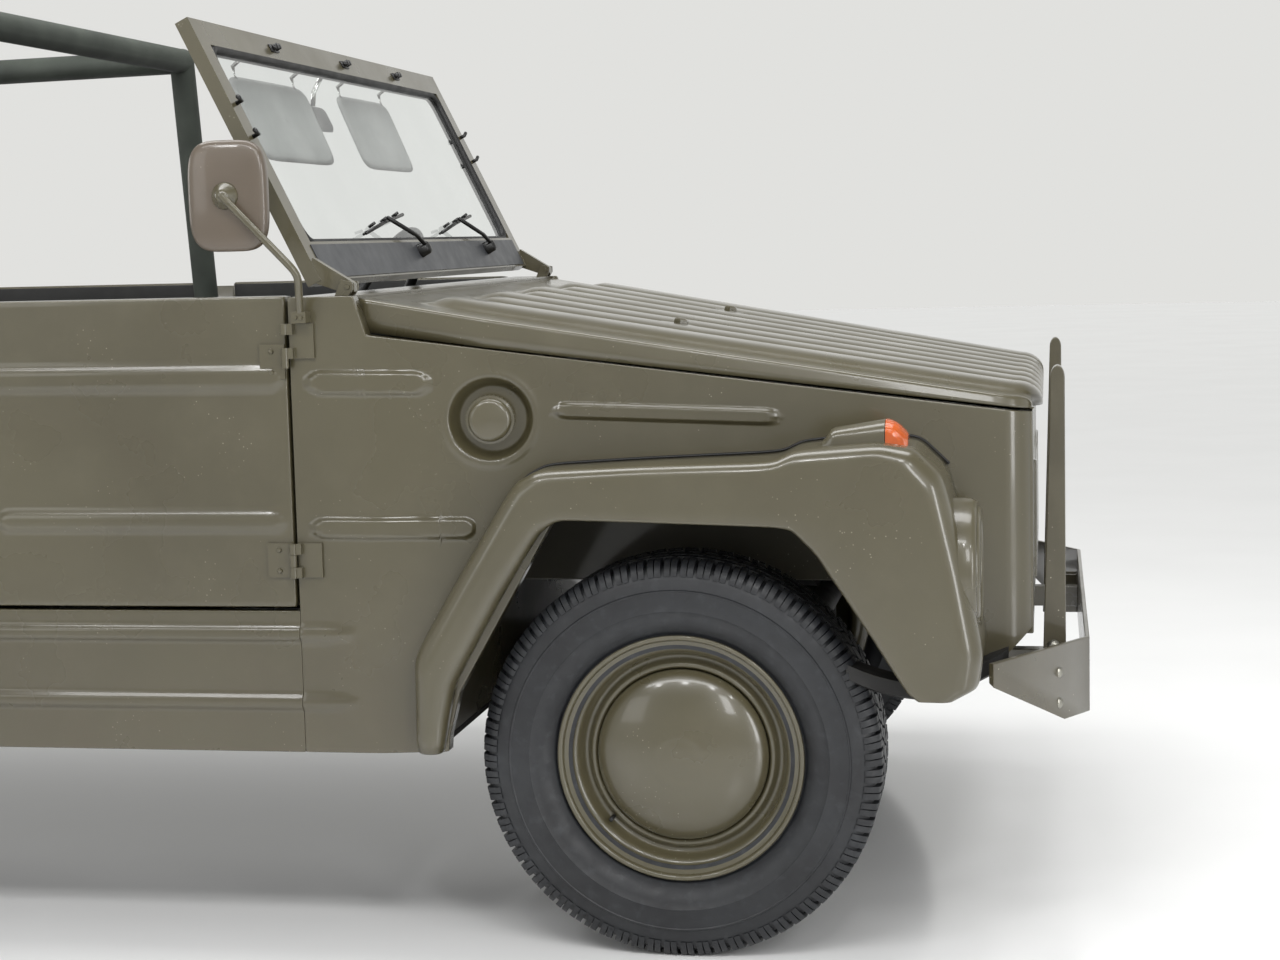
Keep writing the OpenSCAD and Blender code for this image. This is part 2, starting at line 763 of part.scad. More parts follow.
module front_axle() {
    color("#1c1c1b") {
        for (dz = [-75, 75])
            translate([beam_x, arm_y, tyre_r + dz + 10]) rotate([90, 0, 0]) cylinder(h = 2 * arm_y, r = 27);
        both_sides() {
            box([beam_x - 14, arm_y - 40, tyre_r - 100], [beam_x + 14, arm_y - 10, up(560) - tiny]);
            for (dz = [-72, 72]) difference() {
                union() {
                    rod([beam_x, arm_y - 4, tyre_r + dz + 8], [axle_f, king_y, tyre_r + dz], 14);
                    translate([axle_f, king_y, tyre_r + dz - 14]) cylinder(h = 28, r = 28);
                }
                translate([axle_f, king_y, 0]) cylinder(h = 1000, r = 18 + tiny);
            }
        }
        difference() {
            box([beam_x + 10, -26, tyre_r - 73], [beam_x + 85, 26, tyre_r - 57]);
            translate([beam_x + 58, 0, 0]) cylinder(h = 1000, r = tow_r);
        }
    }
}

king_y = across(545);

module knuckle() {
    translate([axle_f, king_y, tyre_r - 90]) cylinder(h = 180, r = 18);
    disc_y(axle_f, tyre_r, king_y, king_y + 30, 40);
    disc_y(axle_f, tyre_r, king_y + 30, track_y + 14 - tiny, 120);
}

module knuckle_right() {
    color("#1c1c1b") on_side(-1) knuckle();
}

module knuckle_left() {
    color("#1c1c1b") on_side(1) knuckle();
}

module rear_axle() {
    tube_x = kick_x - sheet_t - tiny - 40;
    color("#1c1c1b") {
        disc_y(tube_x, floor_z + 25, -across(500), across(500), 40);
        both_sides() {
            disc_y(axle_r, tyre_r, 120 + tiny, across(560), 32);
            disc_y(axle_r, tyre_r, across(560), track_y + 14 - tiny, 120);
            slab_y(across(480), across(500)) polygon([
                [tube_x, floor_z - 5], [tube_x, floor_z + 55], [axle_r - 60, tyre_r + 40],
                [axle_r - 60, tyre_r - 40]]);
        }
    }
}

module transaxle() {
    color("#6f6f6a") {
        box([axle_r - 90, -120, tyre_r - 110], [axle_r + 130, 120, tyre_r + 150]);
        box([axle_r + 130, -80, tyre_r - 80], [axle_r + 290, 80, tyre_r + 100]);
    }
}

module engine() {
    color("#55554f") box([axle_r - 540, -360, tyre_r - 90], [axle_r - 90 - tiny, 360, tyre_r + 330]);
}

module exhaust() {
    color("#3a3734") {
        disc_y(axle_r - 590 - tiny, tyre_r - 10, -300, 300, 50);
        for (y = [-60, 60]) rod([axle_r - 590, y, tyre_r - 30], [-bumper_x + 20, y, tyre_r - 45], 17);
    }
}

// Wheel shapes turn about local z, with +z towards the outside of the car
module rim_shape() {
    seat_r = 172;
    rotate_extrude($fn = 96) polygon([
        [seat_r - 9, -63], [rim_r, -70], [rim_r, -64], [seat_r + 4, -60], [seat_r + 4, 60],
        [rim_r, 64], [rim_r, 70], [seat_r - 6, 66], [seat_r - 14, 46], [cap_r + 6, 30],
        [cap_r + 2, 56], [cap_r * 0.8, 76], [cap_r * 0.45, 88], [0, 92],
        [0, 14], [cap_r, 14], [seat_r - 20, 28], [seat_r - 9, 20]]);
}

module tyre_shape() {
    w = tyre_w / 2;
    bead = 178;
    rotate_extrude($fn = 96) polygon([
        [bead, -60], [rim_r + 3, -62], [rim_r + 30, -w + 4], [rim_r + 62, -w], [tyre_r - 22, -w + 10],
        [tyre_r - 5, -w + 20], [tyre_r, -w + 30], [tyre_r, w - 30], [tyre_r - 5, w - 20],
        [tyre_r - 22, w - 10], [rim_r + 62, w], [rim_r + 30, w - 4], [rim_r + 3, 62], [bead, 60]]);
}

module wheel_place(x, s) {
    translate([x, s * track_y, tyre_r]) rotate([-90 * s, 0, 0]) children();
}

module rim_front_right() {
    color("#6b6550") wheel_place(axle_f, -1) rim_shape();
}

module rim_front_left() {
    color("#6b6550") wheel_place(axle_f, 1) rim_shape();
}

module rim_rear_right() {
    color("#6b6550") wheel_place(axle_r, -1) rim_shape();
}

module rim_rear_left() {
    color("#6b6550") wheel_place(axle_r, 1) rim_shape();
}

module tyre_front_right() {
    color("#20242a") wheel_place(axle_f, -1) tyre_shape();
}

module tyre_front_left() {
    color("#20242a") wheel_place(axle_f, 1) tyre_shape();
}

module tyre_rear_right() {
    color("#20242a") wheel_place(axle_r, -1) tyre_shape();
}

module tyre_rear_left() {
    color("#20242a") wheel_place(axle_r, 1) tyre_shape();
}

floor_pan();
sills();
front_sides();
rear_quarters();
nose_panel();
cowl();
front_tray();
rear_deck();
tail_panel();
front_guards();
rear_guards();
front_bumper();
rear_bumper();
roll_bar();
front_seats();
rear_bench();
steering_column();
mirror_right();
headlamps();
indicators();
tail_lamps();
filler_cap();
hinge_leaves();
front_axle();
rear_axle();
transaxle();
engine();
exhaust();
bonnet();
engine_lid();
door_front_right();
door_front_left();
door_rear_right();
door_rear_left();
screen_frame();
screen_glass();
wipers();
steering_wheel();
knuckle_right();
knuckle_left();
rim_front_right();
rim_front_left();
rim_rear_right();
rim_rear_left();
tyre_front_right();
tyre_front_left();
tyre_rear_right();
tyre_rear_left();
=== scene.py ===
"""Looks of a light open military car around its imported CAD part. Lengths in metres, +X forward."""
import json
import math
from functools import partial

import bmesh
import bpy
import numpy as np
from mathutils import Matrix, Vector

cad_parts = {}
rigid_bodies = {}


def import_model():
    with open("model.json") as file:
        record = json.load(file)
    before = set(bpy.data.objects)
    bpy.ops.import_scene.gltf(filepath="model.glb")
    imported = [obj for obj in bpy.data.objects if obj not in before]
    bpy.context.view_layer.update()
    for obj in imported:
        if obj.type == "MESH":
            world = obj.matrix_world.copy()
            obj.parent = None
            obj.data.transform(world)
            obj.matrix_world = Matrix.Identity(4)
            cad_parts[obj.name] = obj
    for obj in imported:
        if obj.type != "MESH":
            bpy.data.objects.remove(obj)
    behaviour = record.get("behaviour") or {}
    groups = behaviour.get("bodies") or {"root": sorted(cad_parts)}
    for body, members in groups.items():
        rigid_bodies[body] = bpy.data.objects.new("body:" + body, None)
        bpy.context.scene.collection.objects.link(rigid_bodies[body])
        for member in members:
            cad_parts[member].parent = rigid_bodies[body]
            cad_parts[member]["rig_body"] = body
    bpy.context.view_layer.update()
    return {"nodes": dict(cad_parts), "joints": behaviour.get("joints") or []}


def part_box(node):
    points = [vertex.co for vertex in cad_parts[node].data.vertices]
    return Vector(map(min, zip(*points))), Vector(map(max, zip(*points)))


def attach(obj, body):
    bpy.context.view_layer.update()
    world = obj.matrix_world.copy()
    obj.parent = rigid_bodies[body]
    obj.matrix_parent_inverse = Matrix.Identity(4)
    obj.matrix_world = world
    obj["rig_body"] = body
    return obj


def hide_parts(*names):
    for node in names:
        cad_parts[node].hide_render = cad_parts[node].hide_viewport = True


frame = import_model()
JOINTS = {j["name"]: j for j in frame["joints"]}
AXLE_F = JOINTS["roll_front_left"]["pos_m"][0]
AXLE_R = JOINTS["roll_rear_left"]["pos_m"][0]
TRACK = JOINTS["roll_front_left"]["pos_m"][1]
AXLE_Z = JOINTS["roll_front_left"]["pos_m"][2]
SIDE_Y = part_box("sills")[1].y - 0.005
GUARD_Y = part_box("front_guards")[1].y
NOSE_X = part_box("bonnet")[1].x
NOSE_Y = 0.575
BEND_X = 0.757


def side_at(x):
    """Distance of the body side from the centre line: straight, then a straight taper to the nose."""
    return np.where(x < BEND_X, SIDE_Y, SIDE_Y - (x - BEND_X) * (SIDE_Y - NOSE_Y) / (NOSE_X - BEND_X))


NOSE_R = .046


def corner_drop(x, end=None, r=NOSE_R):
    """How far a vertical front corner has turned inward at a station."""
    over = np.clip(x - ((end or NOSE_X) - r), 0, r)
    return r - np.sqrt(np.maximum(r * r - over * over, 0))


def soft_side(x):
    """Body side with a soft bend and a round front corner."""
    bend = np.logaddexp(0, (x - BEND_X) / .008) * .008
    return SIDE_Y - bend * (SIDE_Y - NOSE_Y) / (NOSE_X - BEND_X) - corner_drop(x)


# ---- materials

def linear(code):
    """sRGB hex to linear RGBA."""
    c = np.array([int(code[i:i + 2], 16) for i in (1, 3, 5)]) / 255
    c = np.where(c <= 0.04045, c / 12.92, ((c + 0.055) / 1.055) ** 2.4)
    return (*c.tolist(), 1.0)


def add(tree, kind, sockets=None, **settings):
    """Adds a node. sockets maps an input's name or number to a value or to an output to link."""
    n = tree.nodes.new("ShaderNode" + kind)
    for key, value in settings.items():
        setattr(n, key, value)
    for key, value in (sockets or {}).items():
        if isinstance(value, bpy.types.NodeSocket):
            tree.links.new(value, n.inputs[key])
        else:
            n.inputs[key].default_value = value
    return n


def calc(tree, kind, a, b):
    """Result of one sum on two values or sockets."""
    return add(tree, "Math", {0: a, 1: b}, operation=kind).outputs[0]


def noise(tree, where, scale, detail=3.0, rough=0.5):
    """Cloudy value from 0 to 1."""
    return add(tree, "TexNoise", {"Vector": where, "Scale": scale, "Detail": detail,
                                  "Roughness": rough}).outputs[0]


def ramp(tree, value, low, high, out_low=0.0, out_high=1.0):
    """A value carried from one range to another, held at its ends."""
    return add(tree, "MapRange", {"Value": value, "From Min": low, "From Max": high,
                                  "To Min": out_low, "To Max": out_high}).outputs[0]


def mix(tree, share, a, b, blend="MIX"):
    """Colour between two colours."""
    return add(tree, "Mix", {0: share, 6: a, 7: b}, data_type="RGBA", blend_type=blend).outputs[2]


def material(name, **sockets):
    """A Principled material and its tree, shader and Object coordinates."""
    m = bpy.data.materials.new(name)
    m.use_nodes = True
    tree = m.node_tree
    shader = tree.nodes["Principled BSDF"]
    for key, value in sockets.items():
        shader.inputs[key.replace("_", " ")].default_value = value
    where = add(tree, "TexCoord").outputs["Object"]
    return m, tree, shader, where


def bump(tree, shader, height, distance, strength=1.0):
    """Relief of a depth in metres from a height value."""
    n = add(tree, "Bump", {"Height": height, "Distance": distance, "Strength": strength})
    tree.links.new(n.outputs[0], shader.inputs["Normal"])


def paint(name, colour, pale, dark, rough=0.30, specks=0.35, grime=0.0):
    """Brushed-over army paint: cloudy tone, faint orange peel, dust specks and low grime."""
    m, t, s, w = material(name)
    cloud = noise(t, w, 2.2, 4)
    tone = mix(t, ramp(t, cloud, 0.35, 0.68), linear(dark), linear(colour))
    tone = mix(t, ramp(t, noise(t, w, 11, 5, 0.6), 0.5, 0.8, 0, 0.3), tone, linear(pale))
    dots = add(t, "TexVoronoi", {"Vector": w, "Scale": 95.0}, feature="F1")
    rare = ramp(t, noise(t, w, 9, 2), 0.55, 0.62)
    dot = calc(t, "MULTIPLY", ramp(t, dots.outputs["Distance"], 0.13, 0.05), rare)
    tone = mix(t, calc(t, "MULTIPLY", dot, specks), tone, linear("#b9b3a0"))
    if grime:
        low = ramp(t, add(t, "SeparateXYZ", {0: w}).outputs["Z"], 0.62, 0.32, 0, grime)
        dirt = calc(t, "MULTIPLY", low, ramp(t, noise(t, w, 14, 6, 0.7), 0.35, 0.7))
        tone = mix(t, dirt, tone, linear("#4a3f30"))
    t.links.new(tone, s.inputs["Base Color"])
    t.links.new(ramp(t, noise(t, w, 7, 4), 0.3, 0.7, rough - 0.06, rough + 0.08), s.inputs["Roughness"])
    s.inputs["Specular IOR Level"].default_value = 0.55
    s.inputs["Coat Weight"].default_value = 0.5
    s.inputs["Coat Roughness"].default_value = 0.09
    peel = noise(t, w, 420, 2)
    wave = noise(t, w, 9, 1)
    bump(t, s, calc(t, "ADD", calc(t, "MULTIPLY", wave, 14.0), peel), 0.00006)
    return m


def plain(name, colour, rough, metallic=0.0, grain=300.0, depth=0.00008, vary=0.25, **more):
    """A finish with a fine grain and a slightly uneven tone."""
    m, t, s, w = material(name, Metallic=metallic, **more)
    deep = [c * (1 - vary) for c in linear(colour)[:3]] + [1.0]
    t.links.new(mix(t, ramp(t, noise(t, w, 16, 4), 0.3, 0.7), deep, linear(colour)), s.inputs["Base Color"])
    t.links.new(ramp(t, noise(t, w, 30, 3), 0.3, 0.7, rough * 0.85, rough * 1.1), s.inputs["Roughness"])
    bump(t, s, noise(t, w, grain, 3), depth)
    return m


def rubber():
    """Blue-black tyre rubber with a dusty bloom in patches."""
    m, t, s, w = material("tyre_rubber")
    tone = mix(t, ramp(t, noise(t, w, 8, 5, 0.6), 0.35, 0.7), linear("#151619"), linear("#232528"))
    tone = mix(t, ramp(t, noise(t, w, 60, 4), 0.55, 0.8, 0, 0.35), tone, linear("#3f4145"))
    t.links.new(tone, s.inputs["Base Color"])
    t.links.new(ramp(t, noise(t, w, 40, 3), 0.3, 0.7, 0.42, 0.62), s.inputs["Roughness"])
    bump(t, s, noise(t, w, 500, 3), 0.0001)
    return m


def vinyl():
    """Seat vinyl: a pebbled grain with a soft sheen."""
    m, t, s, w = material("black_vinyl")
    cells = add(t, "TexVoronoi", {"Vector": w, "Scale": 520.0}, feature="SMOOTH_F1").outputs["Distance"]
    t.links.new(mix(t, ramp(t, noise(t, w, 5, 4), 0.3, 0.7), linear("#171716"), linear("#232321")),
                s.inputs["Base Color"])
    s.inputs["Roughness"].default_value = 0.48
    bump(t, s, cells, 0.0004)
    return m


def padding():
    """Wrapped roll bar padding: coarse cloth with shallow creases round the tube."""
    m, t, s, w = material("roll_bar_padding", Roughness=0.72)
    t.links.new(mix(t, ramp(t, noise(t, w, 9, 5), 0.3, 0.7), linear("#343933"), linear("#4a5048")),
                s.inputs["Base Color"])
    weave = add(t, "TexWave", {"Vector": w, "Scale": 260.0, "Distortion": 1.5}, bands_direction="DIAGONAL")
    crease = noise(t, w, 24, 3)
    bump(t, s, calc(t, "ADD", calc(t, "MULTIPLY", crease, 6.0), weave.outputs["Fac"]), 0.0006)
    return m


def lens(name, colour, rough=0.06):
    """Moulded lamp lens with fine upright flutes."""
    m, t, s, w = material(name, Roughness=rough, IOR=1.49, Transmission_Weight=0.35, Coat_Weight=0.6)
    t.links.new(mix(t, ramp(t, noise(t, w, 60, 2), 0.3, 0.7), linear(colour),
                    [min(1.0, c * 1.35) for c in linear(colour)[:3]] + [1.0]), s.inputs["Base Color"])
    wave = add(t, "TexWave", {"Vector": w, "Scale": 95.0}, bands_direction="Y")
    bump(t, s, wave.outputs["Fac"], 0.0006)
    return m


def glass(name="windscreen_glass"):
    """Clear sheet: mostly transparent, so that what is behind stays crisp."""
    m = bpy.data.materials.new(name)
    m.use_nodes = True
    t = m.node_tree
    t.nodes.clear()
    where = add(t, "TexCoord").outputs["Object"]
    haze = ramp(t, noise(t, where, 7, 4), 0.4, 0.8, 0.0, 0.05)
    clear = add(t, "BsdfTransparent", {"Color": (0.95, 0.965, 0.96, 1)})
    shine = add(t, "BsdfGlossy", {"Color": (1, 1, 1, 1), "Roughness": 0.02})
    dust = add(t, "BsdfDiffuse", {"Color": (0.8, 0.8, 0.78, 1)})
    front = calc(t, "SUBTRACT", 1.0, add(t, "NewGeometry").outputs["Backfacing"])
    edge = calc(t, "MULTIPLY", add(t, "Fresnel", {"IOR": 1.45}).outputs[0], front)
    a = add(t, "MixShader", {0: edge, 1: clear.outputs[0], 2: shine.outputs[0]})
    b = add(t, "MixShader", {0: haze, 1: a.outputs[0], 2: dust.outputs[0]})
    add(t, "OutputMaterial", {0: b.outputs[0]})
    return m


M = {
    "paint": paint("olive_drab_paint", "#4c4734", "#575240", "#443f2d"),
    "paint_low": paint("olive_drab_paint_low", "#4a4532", "#55503e", "#423d2b", grime=0.35),
    "paint_worn": paint("olive_drab_paint_worn", "#484331", "#625d4b", "#3e3929", specks=0.8, grime=0.25),
    "paint_inner": paint("olive_drab_inner_paint", "#474333", "#524e3d", "#3d392b", rough=0.5),
    "band": plain("dark_grey_band_paint", "#3b3d40", 0.45, vary=0.15),
    "rubber": rubber(),
    "vinyl": vinyl(),
    "padding": padding(),
    "trim": plain("black_rubber_trim", "#171717", 0.55, grain=700.0, depth=0.0002),
    "plastic": plain("black_plastic", "#121212", 0.38, grain=900.0, depth=0.0001),
    "chassis": plain("black_chassis_paint", "#191817", 0.6, depth=0.0005, grain=120.0, vary=0.4),
    "underseal": plain("underseal", "#26221e", 0.85, grain=90.0, depth=0.002, vary=0.45),
    "casting": plain("rough_casting", "#6b6a64", 0.62, metallic=0.7, grain=160.0, depth=0.0012, vary=0.35),
    "exhaust": plain("heat_dulled_steel", "#4e443c", 0.6, metallic=0.8, grain=120.0, depth=0.0008, vary=0.4),
    "chrome": plain("chrome_plate", "#d9d9d6", 0.12, metallic=1.0, vary=0.05),
    "steel": plain("zinc_plated_steel", "#9a988f", 0.35, metallic=0.9, vary=0.2),
    "mirror_paint": paint("brown_olive_mirror_paint", "#574c3f", "#62574a", "#4b4136", rough=0.42),
    "card": plain("door_trim_card", "#1d1d1c", 0.6, grain=420.0, depth=0.0002),
    "visor": plain("pale_grey_visor_vinyl", "#858684", 0.55, grain=600.0, depth=0.0002, vary=0.1),
    "amber": lens("amber_lens", "#c4560c"),
    "red": lens("red_lens", "#a3170f"),
    "clear": lens("clear_lamp_lens", "#e8ebea"),
    "glass": glass(),
    "mirror": plain("mirror_glass", "#e6e8e8", 0.03, metallic=1.0, vary=0.02, depth=0.0),
}

# ---- mesh helpers

PIECES = {}
BOX_FACES = [[0, 1, 3, 2], [4, 6, 7, 5], [0, 4, 5, 1], [2, 3, 7, 6], [0, 2, 6, 4], [1, 5, 7, 3]]


def place(name, data):
    """A new object in the scene."""
    o = bpy.data.objects.new(name, data)
    bpy.context.scene.collection.objects.link(o)
    return o


def piece(name, verts, faces, mat, body="chassis", stands_for=(), smooth=True, weld=0.0):
    """A mesh piece in the row frame that rides on a body and may stand for CAD nodes."""
    me = bpy.data.meshes.new(name)
    me.from_pydata(np.asarray(verts).reshape(-1, 3).tolist(), [], [list(f) for f in faces])
    if weld:
        bm = bmesh.new()
        bm.from_mesh(me)
        bmesh.ops.remove_doubles(bm, verts=bm.verts, dist=weld)
        bmesh.ops.recalc_face_normals(bm, faces=bm.faces)
        bm.to_mesh(me)
        bm.free()
    me.update()
    me.materials.append(M[mat])
    o = place(name, me)
    me.polygons.foreach_set("use_smooth", [smooth] * len(me.polygons))
    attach(o, body)
    if stands_for:
        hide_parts(*stands_for)
    PIECES[name] = o
    return o


def grid_faces(nu, nv, wrap_u=False, wrap_v=False, start=0):
    """Quads of an nu by nv grid of points, row after row."""
    i, j = np.meshgrid(np.arange(nu - (not wrap_u)), np.arange(nv - (not wrap_v)), indexing="ij")
    a, b = (i + 1) % nu, (j + 1) % nv
    return (np.stack([i * nv + j, a * nv + j, a * nv + b, i * nv + b], -1).reshape(-1, 4) + start).tolist()


class Batch:
    """Collects grids and boxes into one mesh."""

    def __init__(self):
        self.v, self.f, self.n = [], [], 0

    def grid(self, p, wrap_u=False, wrap_v=False, flip=False, caps=False):
        """Rows of points joined by quads; caps close the first and last rows."""
        nu, nv = p.shape[:2]
        faces = grid_faces(nu, nv, wrap_u, wrap_v, self.n)
        if caps:
            faces += [list(range(self.n + nv - 1, self.n - 1, -1)),
                      list(range(self.n + (nu - 1) * nv, self.n + nu * nv))]
        if flip:
            faces = [f[::-1] for f in faces]
        self.v.append(p.reshape(-1, 3))
        self.f += faces
        self.n += nu * nv
        return self

    def tube(self, path, radius, sides=12):
        """Round tube along a path, closed at both ends."""
        path = np.asarray(path, float)
        r = np.broadcast_to(radius, len(path))
        d = np.gradient(path, axis=0)
        d /= np.linalg.norm(d, axis=1)[:, None]
        ref = np.array([0, 0, 1.0]) if abs(d[0][2]) < 0.9 else np.array([0, 1.0, 0])
        a = np.cross(d, ref)
        a /= np.linalg.norm(a, axis=1)[:, None]
        b = np.cross(d, a)
        phi = np.linspace(0, 2 * np.pi, sides, endpoint=False)
        p = path[:, None] + r[:, None, None] * (np.cos(phi)[None, :, None] * a[:, None]
                                                 + np.sin(phi)[None, :, None] * b[:, None])
        return self.grid(p, wrap_v=True, caps=True, flip=True)

    def block(self, lo, hi, turn=None, about=(0, 0, 0)):
        """Box between two corners, turned by a 3 by 3 matrix about a point."""
        lo, hi = np.array(lo, float), np.array(hi, float)
        c = np.array([[x, y, z] for x in (0, 1) for y in (0, 1) for z in (0, 1)])
        p = lo + c * (hi - lo)
        if turn is not None:
            p = (p - about) @ np.asarray(turn).T + about
        self.v.append(p)
        self.f += [[k + self.n for k in face] for face in BOX_FACES]
        self.n += 8
        return self

    def revolve(self, profile, centre, axis, sides=96, closed=False):
        """Profile of (radius, along) turned about an axis through a centre."""
        axis = np.array(axis, float) / np.linalg.norm(axis)
        ref = np.array([0, 0, 1.0]) if abs(axis[2]) < 0.9 else np.array([1.0, 0, 0])
        a = np.cross(axis, ref)
        a /= np.linalg.norm(a)
        b = np.cross(axis, a)
        phi = np.linspace(0, 2 * np.pi, sides, endpoint=False)
        pr = np.asarray(profile, float)
        ring = np.cos(phi)[:, None] * a + np.sin(phi)[:, None] * b
        p = np.array(centre) + pr[:, 0][:, None, None] * ring[None] + pr[:, 1][:, None, None] * axis
        return self.grid(p, wrap_u=closed, wrap_v=True)

    def make(self, name, mat, body="chassis", stands_for=(), smooth=True, weld=1e-5):
        """The finished piece."""
        return piece(name, np.concatenate(self.v), self.f, mat, body, stands_for, smooth, weld)


def smooth_by_angle(o, degrees=35):
    """Marks edges sharper than an angle as sharp, on a smooth-shaded mesh."""
    bm = bmesh.new()
    bm.from_mesh(o.data)
    for e in bm.edges:
        e.smooth = len(e.link_faces) == 2 and e.calc_face_angle(0) < math.radians(degrees)
    bm.to_mesh(o.data)
    bm.free()


def bevel(o, width, segments=2, angle=38):
    """Rounds edges sharper than an angle in degrees."""
    m = o.modifiers.new("bevel", "BEVEL")
    m.width, m.segments, m.limit_method = width, segments, "ANGLE"
    m.angle_limit = math.radians(angle)
    m.harden_normals = True
    return o


def dressed(node, mat, width=0.003, segments=2, body=None):
    """A merged copy of a CAD node with flat faces joined and its edges bevelled."""
    src = frame["nodes"][node]
    bm = bmesh.new()
    bm.from_mesh(src.data)
    bmesh.ops.remove_doubles(bm, verts=bm.verts, dist=1e-5)
    bmesh.ops.dissolve_limit(bm, angle_limit=math.radians(0.5), verts=bm.verts, edges=bm.edges)
    me = bpy.data.meshes.new(node + "_finish")
    bm.to_mesh(me)
    bm.free()
    me.materials.append(M[mat])
    me.polygons.foreach_set("use_smooth", [True] * len(me.polygons))
    o = place(node + "_finish", me)
    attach(o, body or src["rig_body"])
    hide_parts(node)
    smooth_by_angle(o)
    if width:
        bevel(o, width, segments)
    PIECES[o.name] = o
    return o


def both(y):
    """Name, sign and distance of the right and the left."""
    return (("right", -1, -y), ("left", 1, y))


# ---- wheels

def wheel(body, x, s):
    """Tyre with raised rings and tread blocks, painted rim and painted domed cap, axis along Y."""
    c, axis = (x, s * TRACK, AXLE_Z), (0, s, 0)
    tyre_node, rim_node = "tyre_" + body, "rim_" + body
    side = np.array([[.178, .060], [.203, .0625], [.209, .071], [.219, .081], [.232, .088], [.2415, .0903],
                     [.243, .0918], [.2448, .0918], [.2462, .0910], [.262, .0922], [.2735, .0908], [.275, .0918],
                     [.2768, .0916], [.278, .0893], [.292, .0858], [.303, .0815], [.3105, .0755], [.3150, .0690],
                     [.3165, .060]])
    prof = np.concatenate([side * [1, -1], side[::-1]])
    b = Batch().revolve(prof, c, axis, 120, closed=True)
    pitch = 2 * np.pi / 72
    # tread rows: along-axle low, high, share of the pitch, offset in pitches, slant
    rows = [(-.0135, .0135, .82, 0.0, .25), (.0190, .0410, .74, .5, .35), (-.0410, -.0190, .74, .5, -.35)]
    for lo, hi, share, off, slant in rows:
        k = (np.arange(72) + off) * pitch
        half = share * pitch / 2
        a = np.array([[-half, 0], [half, 0], [half, 1], [-half, 1]])
        for base in k:
            w = np.array([lo, lo, hi, hi])
            ang = base + a[:, 0] + (a[:, 1] - .5) * slant * pitch
            ring = [np.stack([np.cos(ang) * r, w * s, np.sin(ang) * r], 1) + c for r in (.3155, .3248)]
            b.v.append(np.concatenate(ring))
            n = b.n
            b.f += [[n + 4, n + 5, n + 6, n + 7]] + [[n + i, n + (i + 1) % 4, n + 4 + (i + 1) % 4, n + 4 + i]
                                                     for i in range(4)]
            b.n += 8
    outline = np.array([[.3150, .0470], [.3248, .0470], [.3248, .0630], [.3238, .0690], [.3200, .0745],
                        [.3120, .0805], [.3030, .0850], [.2985, .0846], [.3020, .0810], [.3120, .0740]])
    for sign in (-1, 1):
        for k in range(72):
            base = (k + (.25 if sign > 0 else .75)) * pitch
            for lo, hi in ((-.40, -.05), (.02, .37)):
                a0, a1 = base + lo * pitch, base + hi * pitch
                depth = 1.0 if lo < 0 else .965
                rings = []
                for ang in (a0, a1):
                    r = np.minimum(outline[:, 0], outline[0, 0] + (outline[:, 0] - outline[0, 0]) * depth)
                    out = sign * s * outline[:, 1]
                    rings.append(np.stack([np.cos(ang) * r, out, np.sin(ang) * r], 1) + c)
                n, m = b.n, len(outline)
                b.v.append(np.concatenate(rings))
                b.f += [[n + i, n + (i + 1) % m, n + m + (i + 1) % m, n + m + i] for i in range(m)]
                b.f += [list(range(n + m - 1, n - 1, -1)), list(range(n + m, n + 2 * m))]
                b.n += 2 * m
    t = b.make("tyre_" + body + "_tread", "rubber", "wheel_" + body, [tyre_node], weld=0)
    bm = bmesh.new()
    bm.from_mesh(t.data)
    bmesh.ops.recalc_face_normals(bm, faces=bm.faces)
    bm.to_mesh(t.data)
    bm.free()
    smooth_by_angle(t, 40)
    rim = np.array([[.163, -.063], [.199, -.070], [.201, -.067], [.199, -.064], [.177, -.061], [.177, -.030],
                    [.160, -.022], [.160, .010], [.177, .030], [.1775, .058], [.186, .0612], [.195, .0640],
                    [.2003, .0650], [.2012, .0675], [.2005, .0698], [.1980, .0706], [.1950, .0700], [.1925, .0672],
                    [.1905, .0610], [.1890, .0560], [.1840, .0535], [.1770, .0520], [.1720, .0480], [.1690, .0420],
                    [.1665, .0330], [.1630, .0270], [.1580, .0262], [.1545, .0300], [.1510, .0360], [.1470, .0382],
                    [.1430, .0360], [.1405, .0300], [.1370, .0240], [.0600, .0240], [.0600, .0145], [.150, .0145],
                    [.152, .004], [.150, -.010], [.163, -.022]])
    b = Batch().revolve(rim, c, axis, 128, closed=True)
    valve = np.array([[.1590, .0300], [.1600, .0520]])
    ang = math.radians(222 if s < 0 else 318)
    d = np.array([math.cos(ang), 0, math.sin(ang)])
    b.make("rim_" + body + "_paint", "paint", "wheel_" + body, [rim_node])
    Batch().tube([np.array(c) + d * r + np.array([0, s * w, 0]) for r, w in valve], .0035, 10).make(
        "valve_" + body, "trim", "wheel_" + body)
    r = np.linspace(0, 1, 26) ** .75
    cap = [[.1385 * q, .0430 + .0400 * (1 - q ** 2) ** .72 + .0007 * math.exp(-((q - .30) / .02) ** 2)]
           for q in r[:-1]]
    cap += [[.1385, .0425], [.1400, .0385], [.1402, .0350], [.1380, .0330], [.1340, .0330]]
    Batch().revolve(cap, c, axis, 128).make("hub_cap_" + body, "paint", "wheel_" + body, weld=1e-5)


for end, x in (("front", AXLE_F), ("rear", AXLE_R)):
    for side, s, _ in both(1):
        wheel(f"{end}_{side}", x, s)

# ---- wheel guards


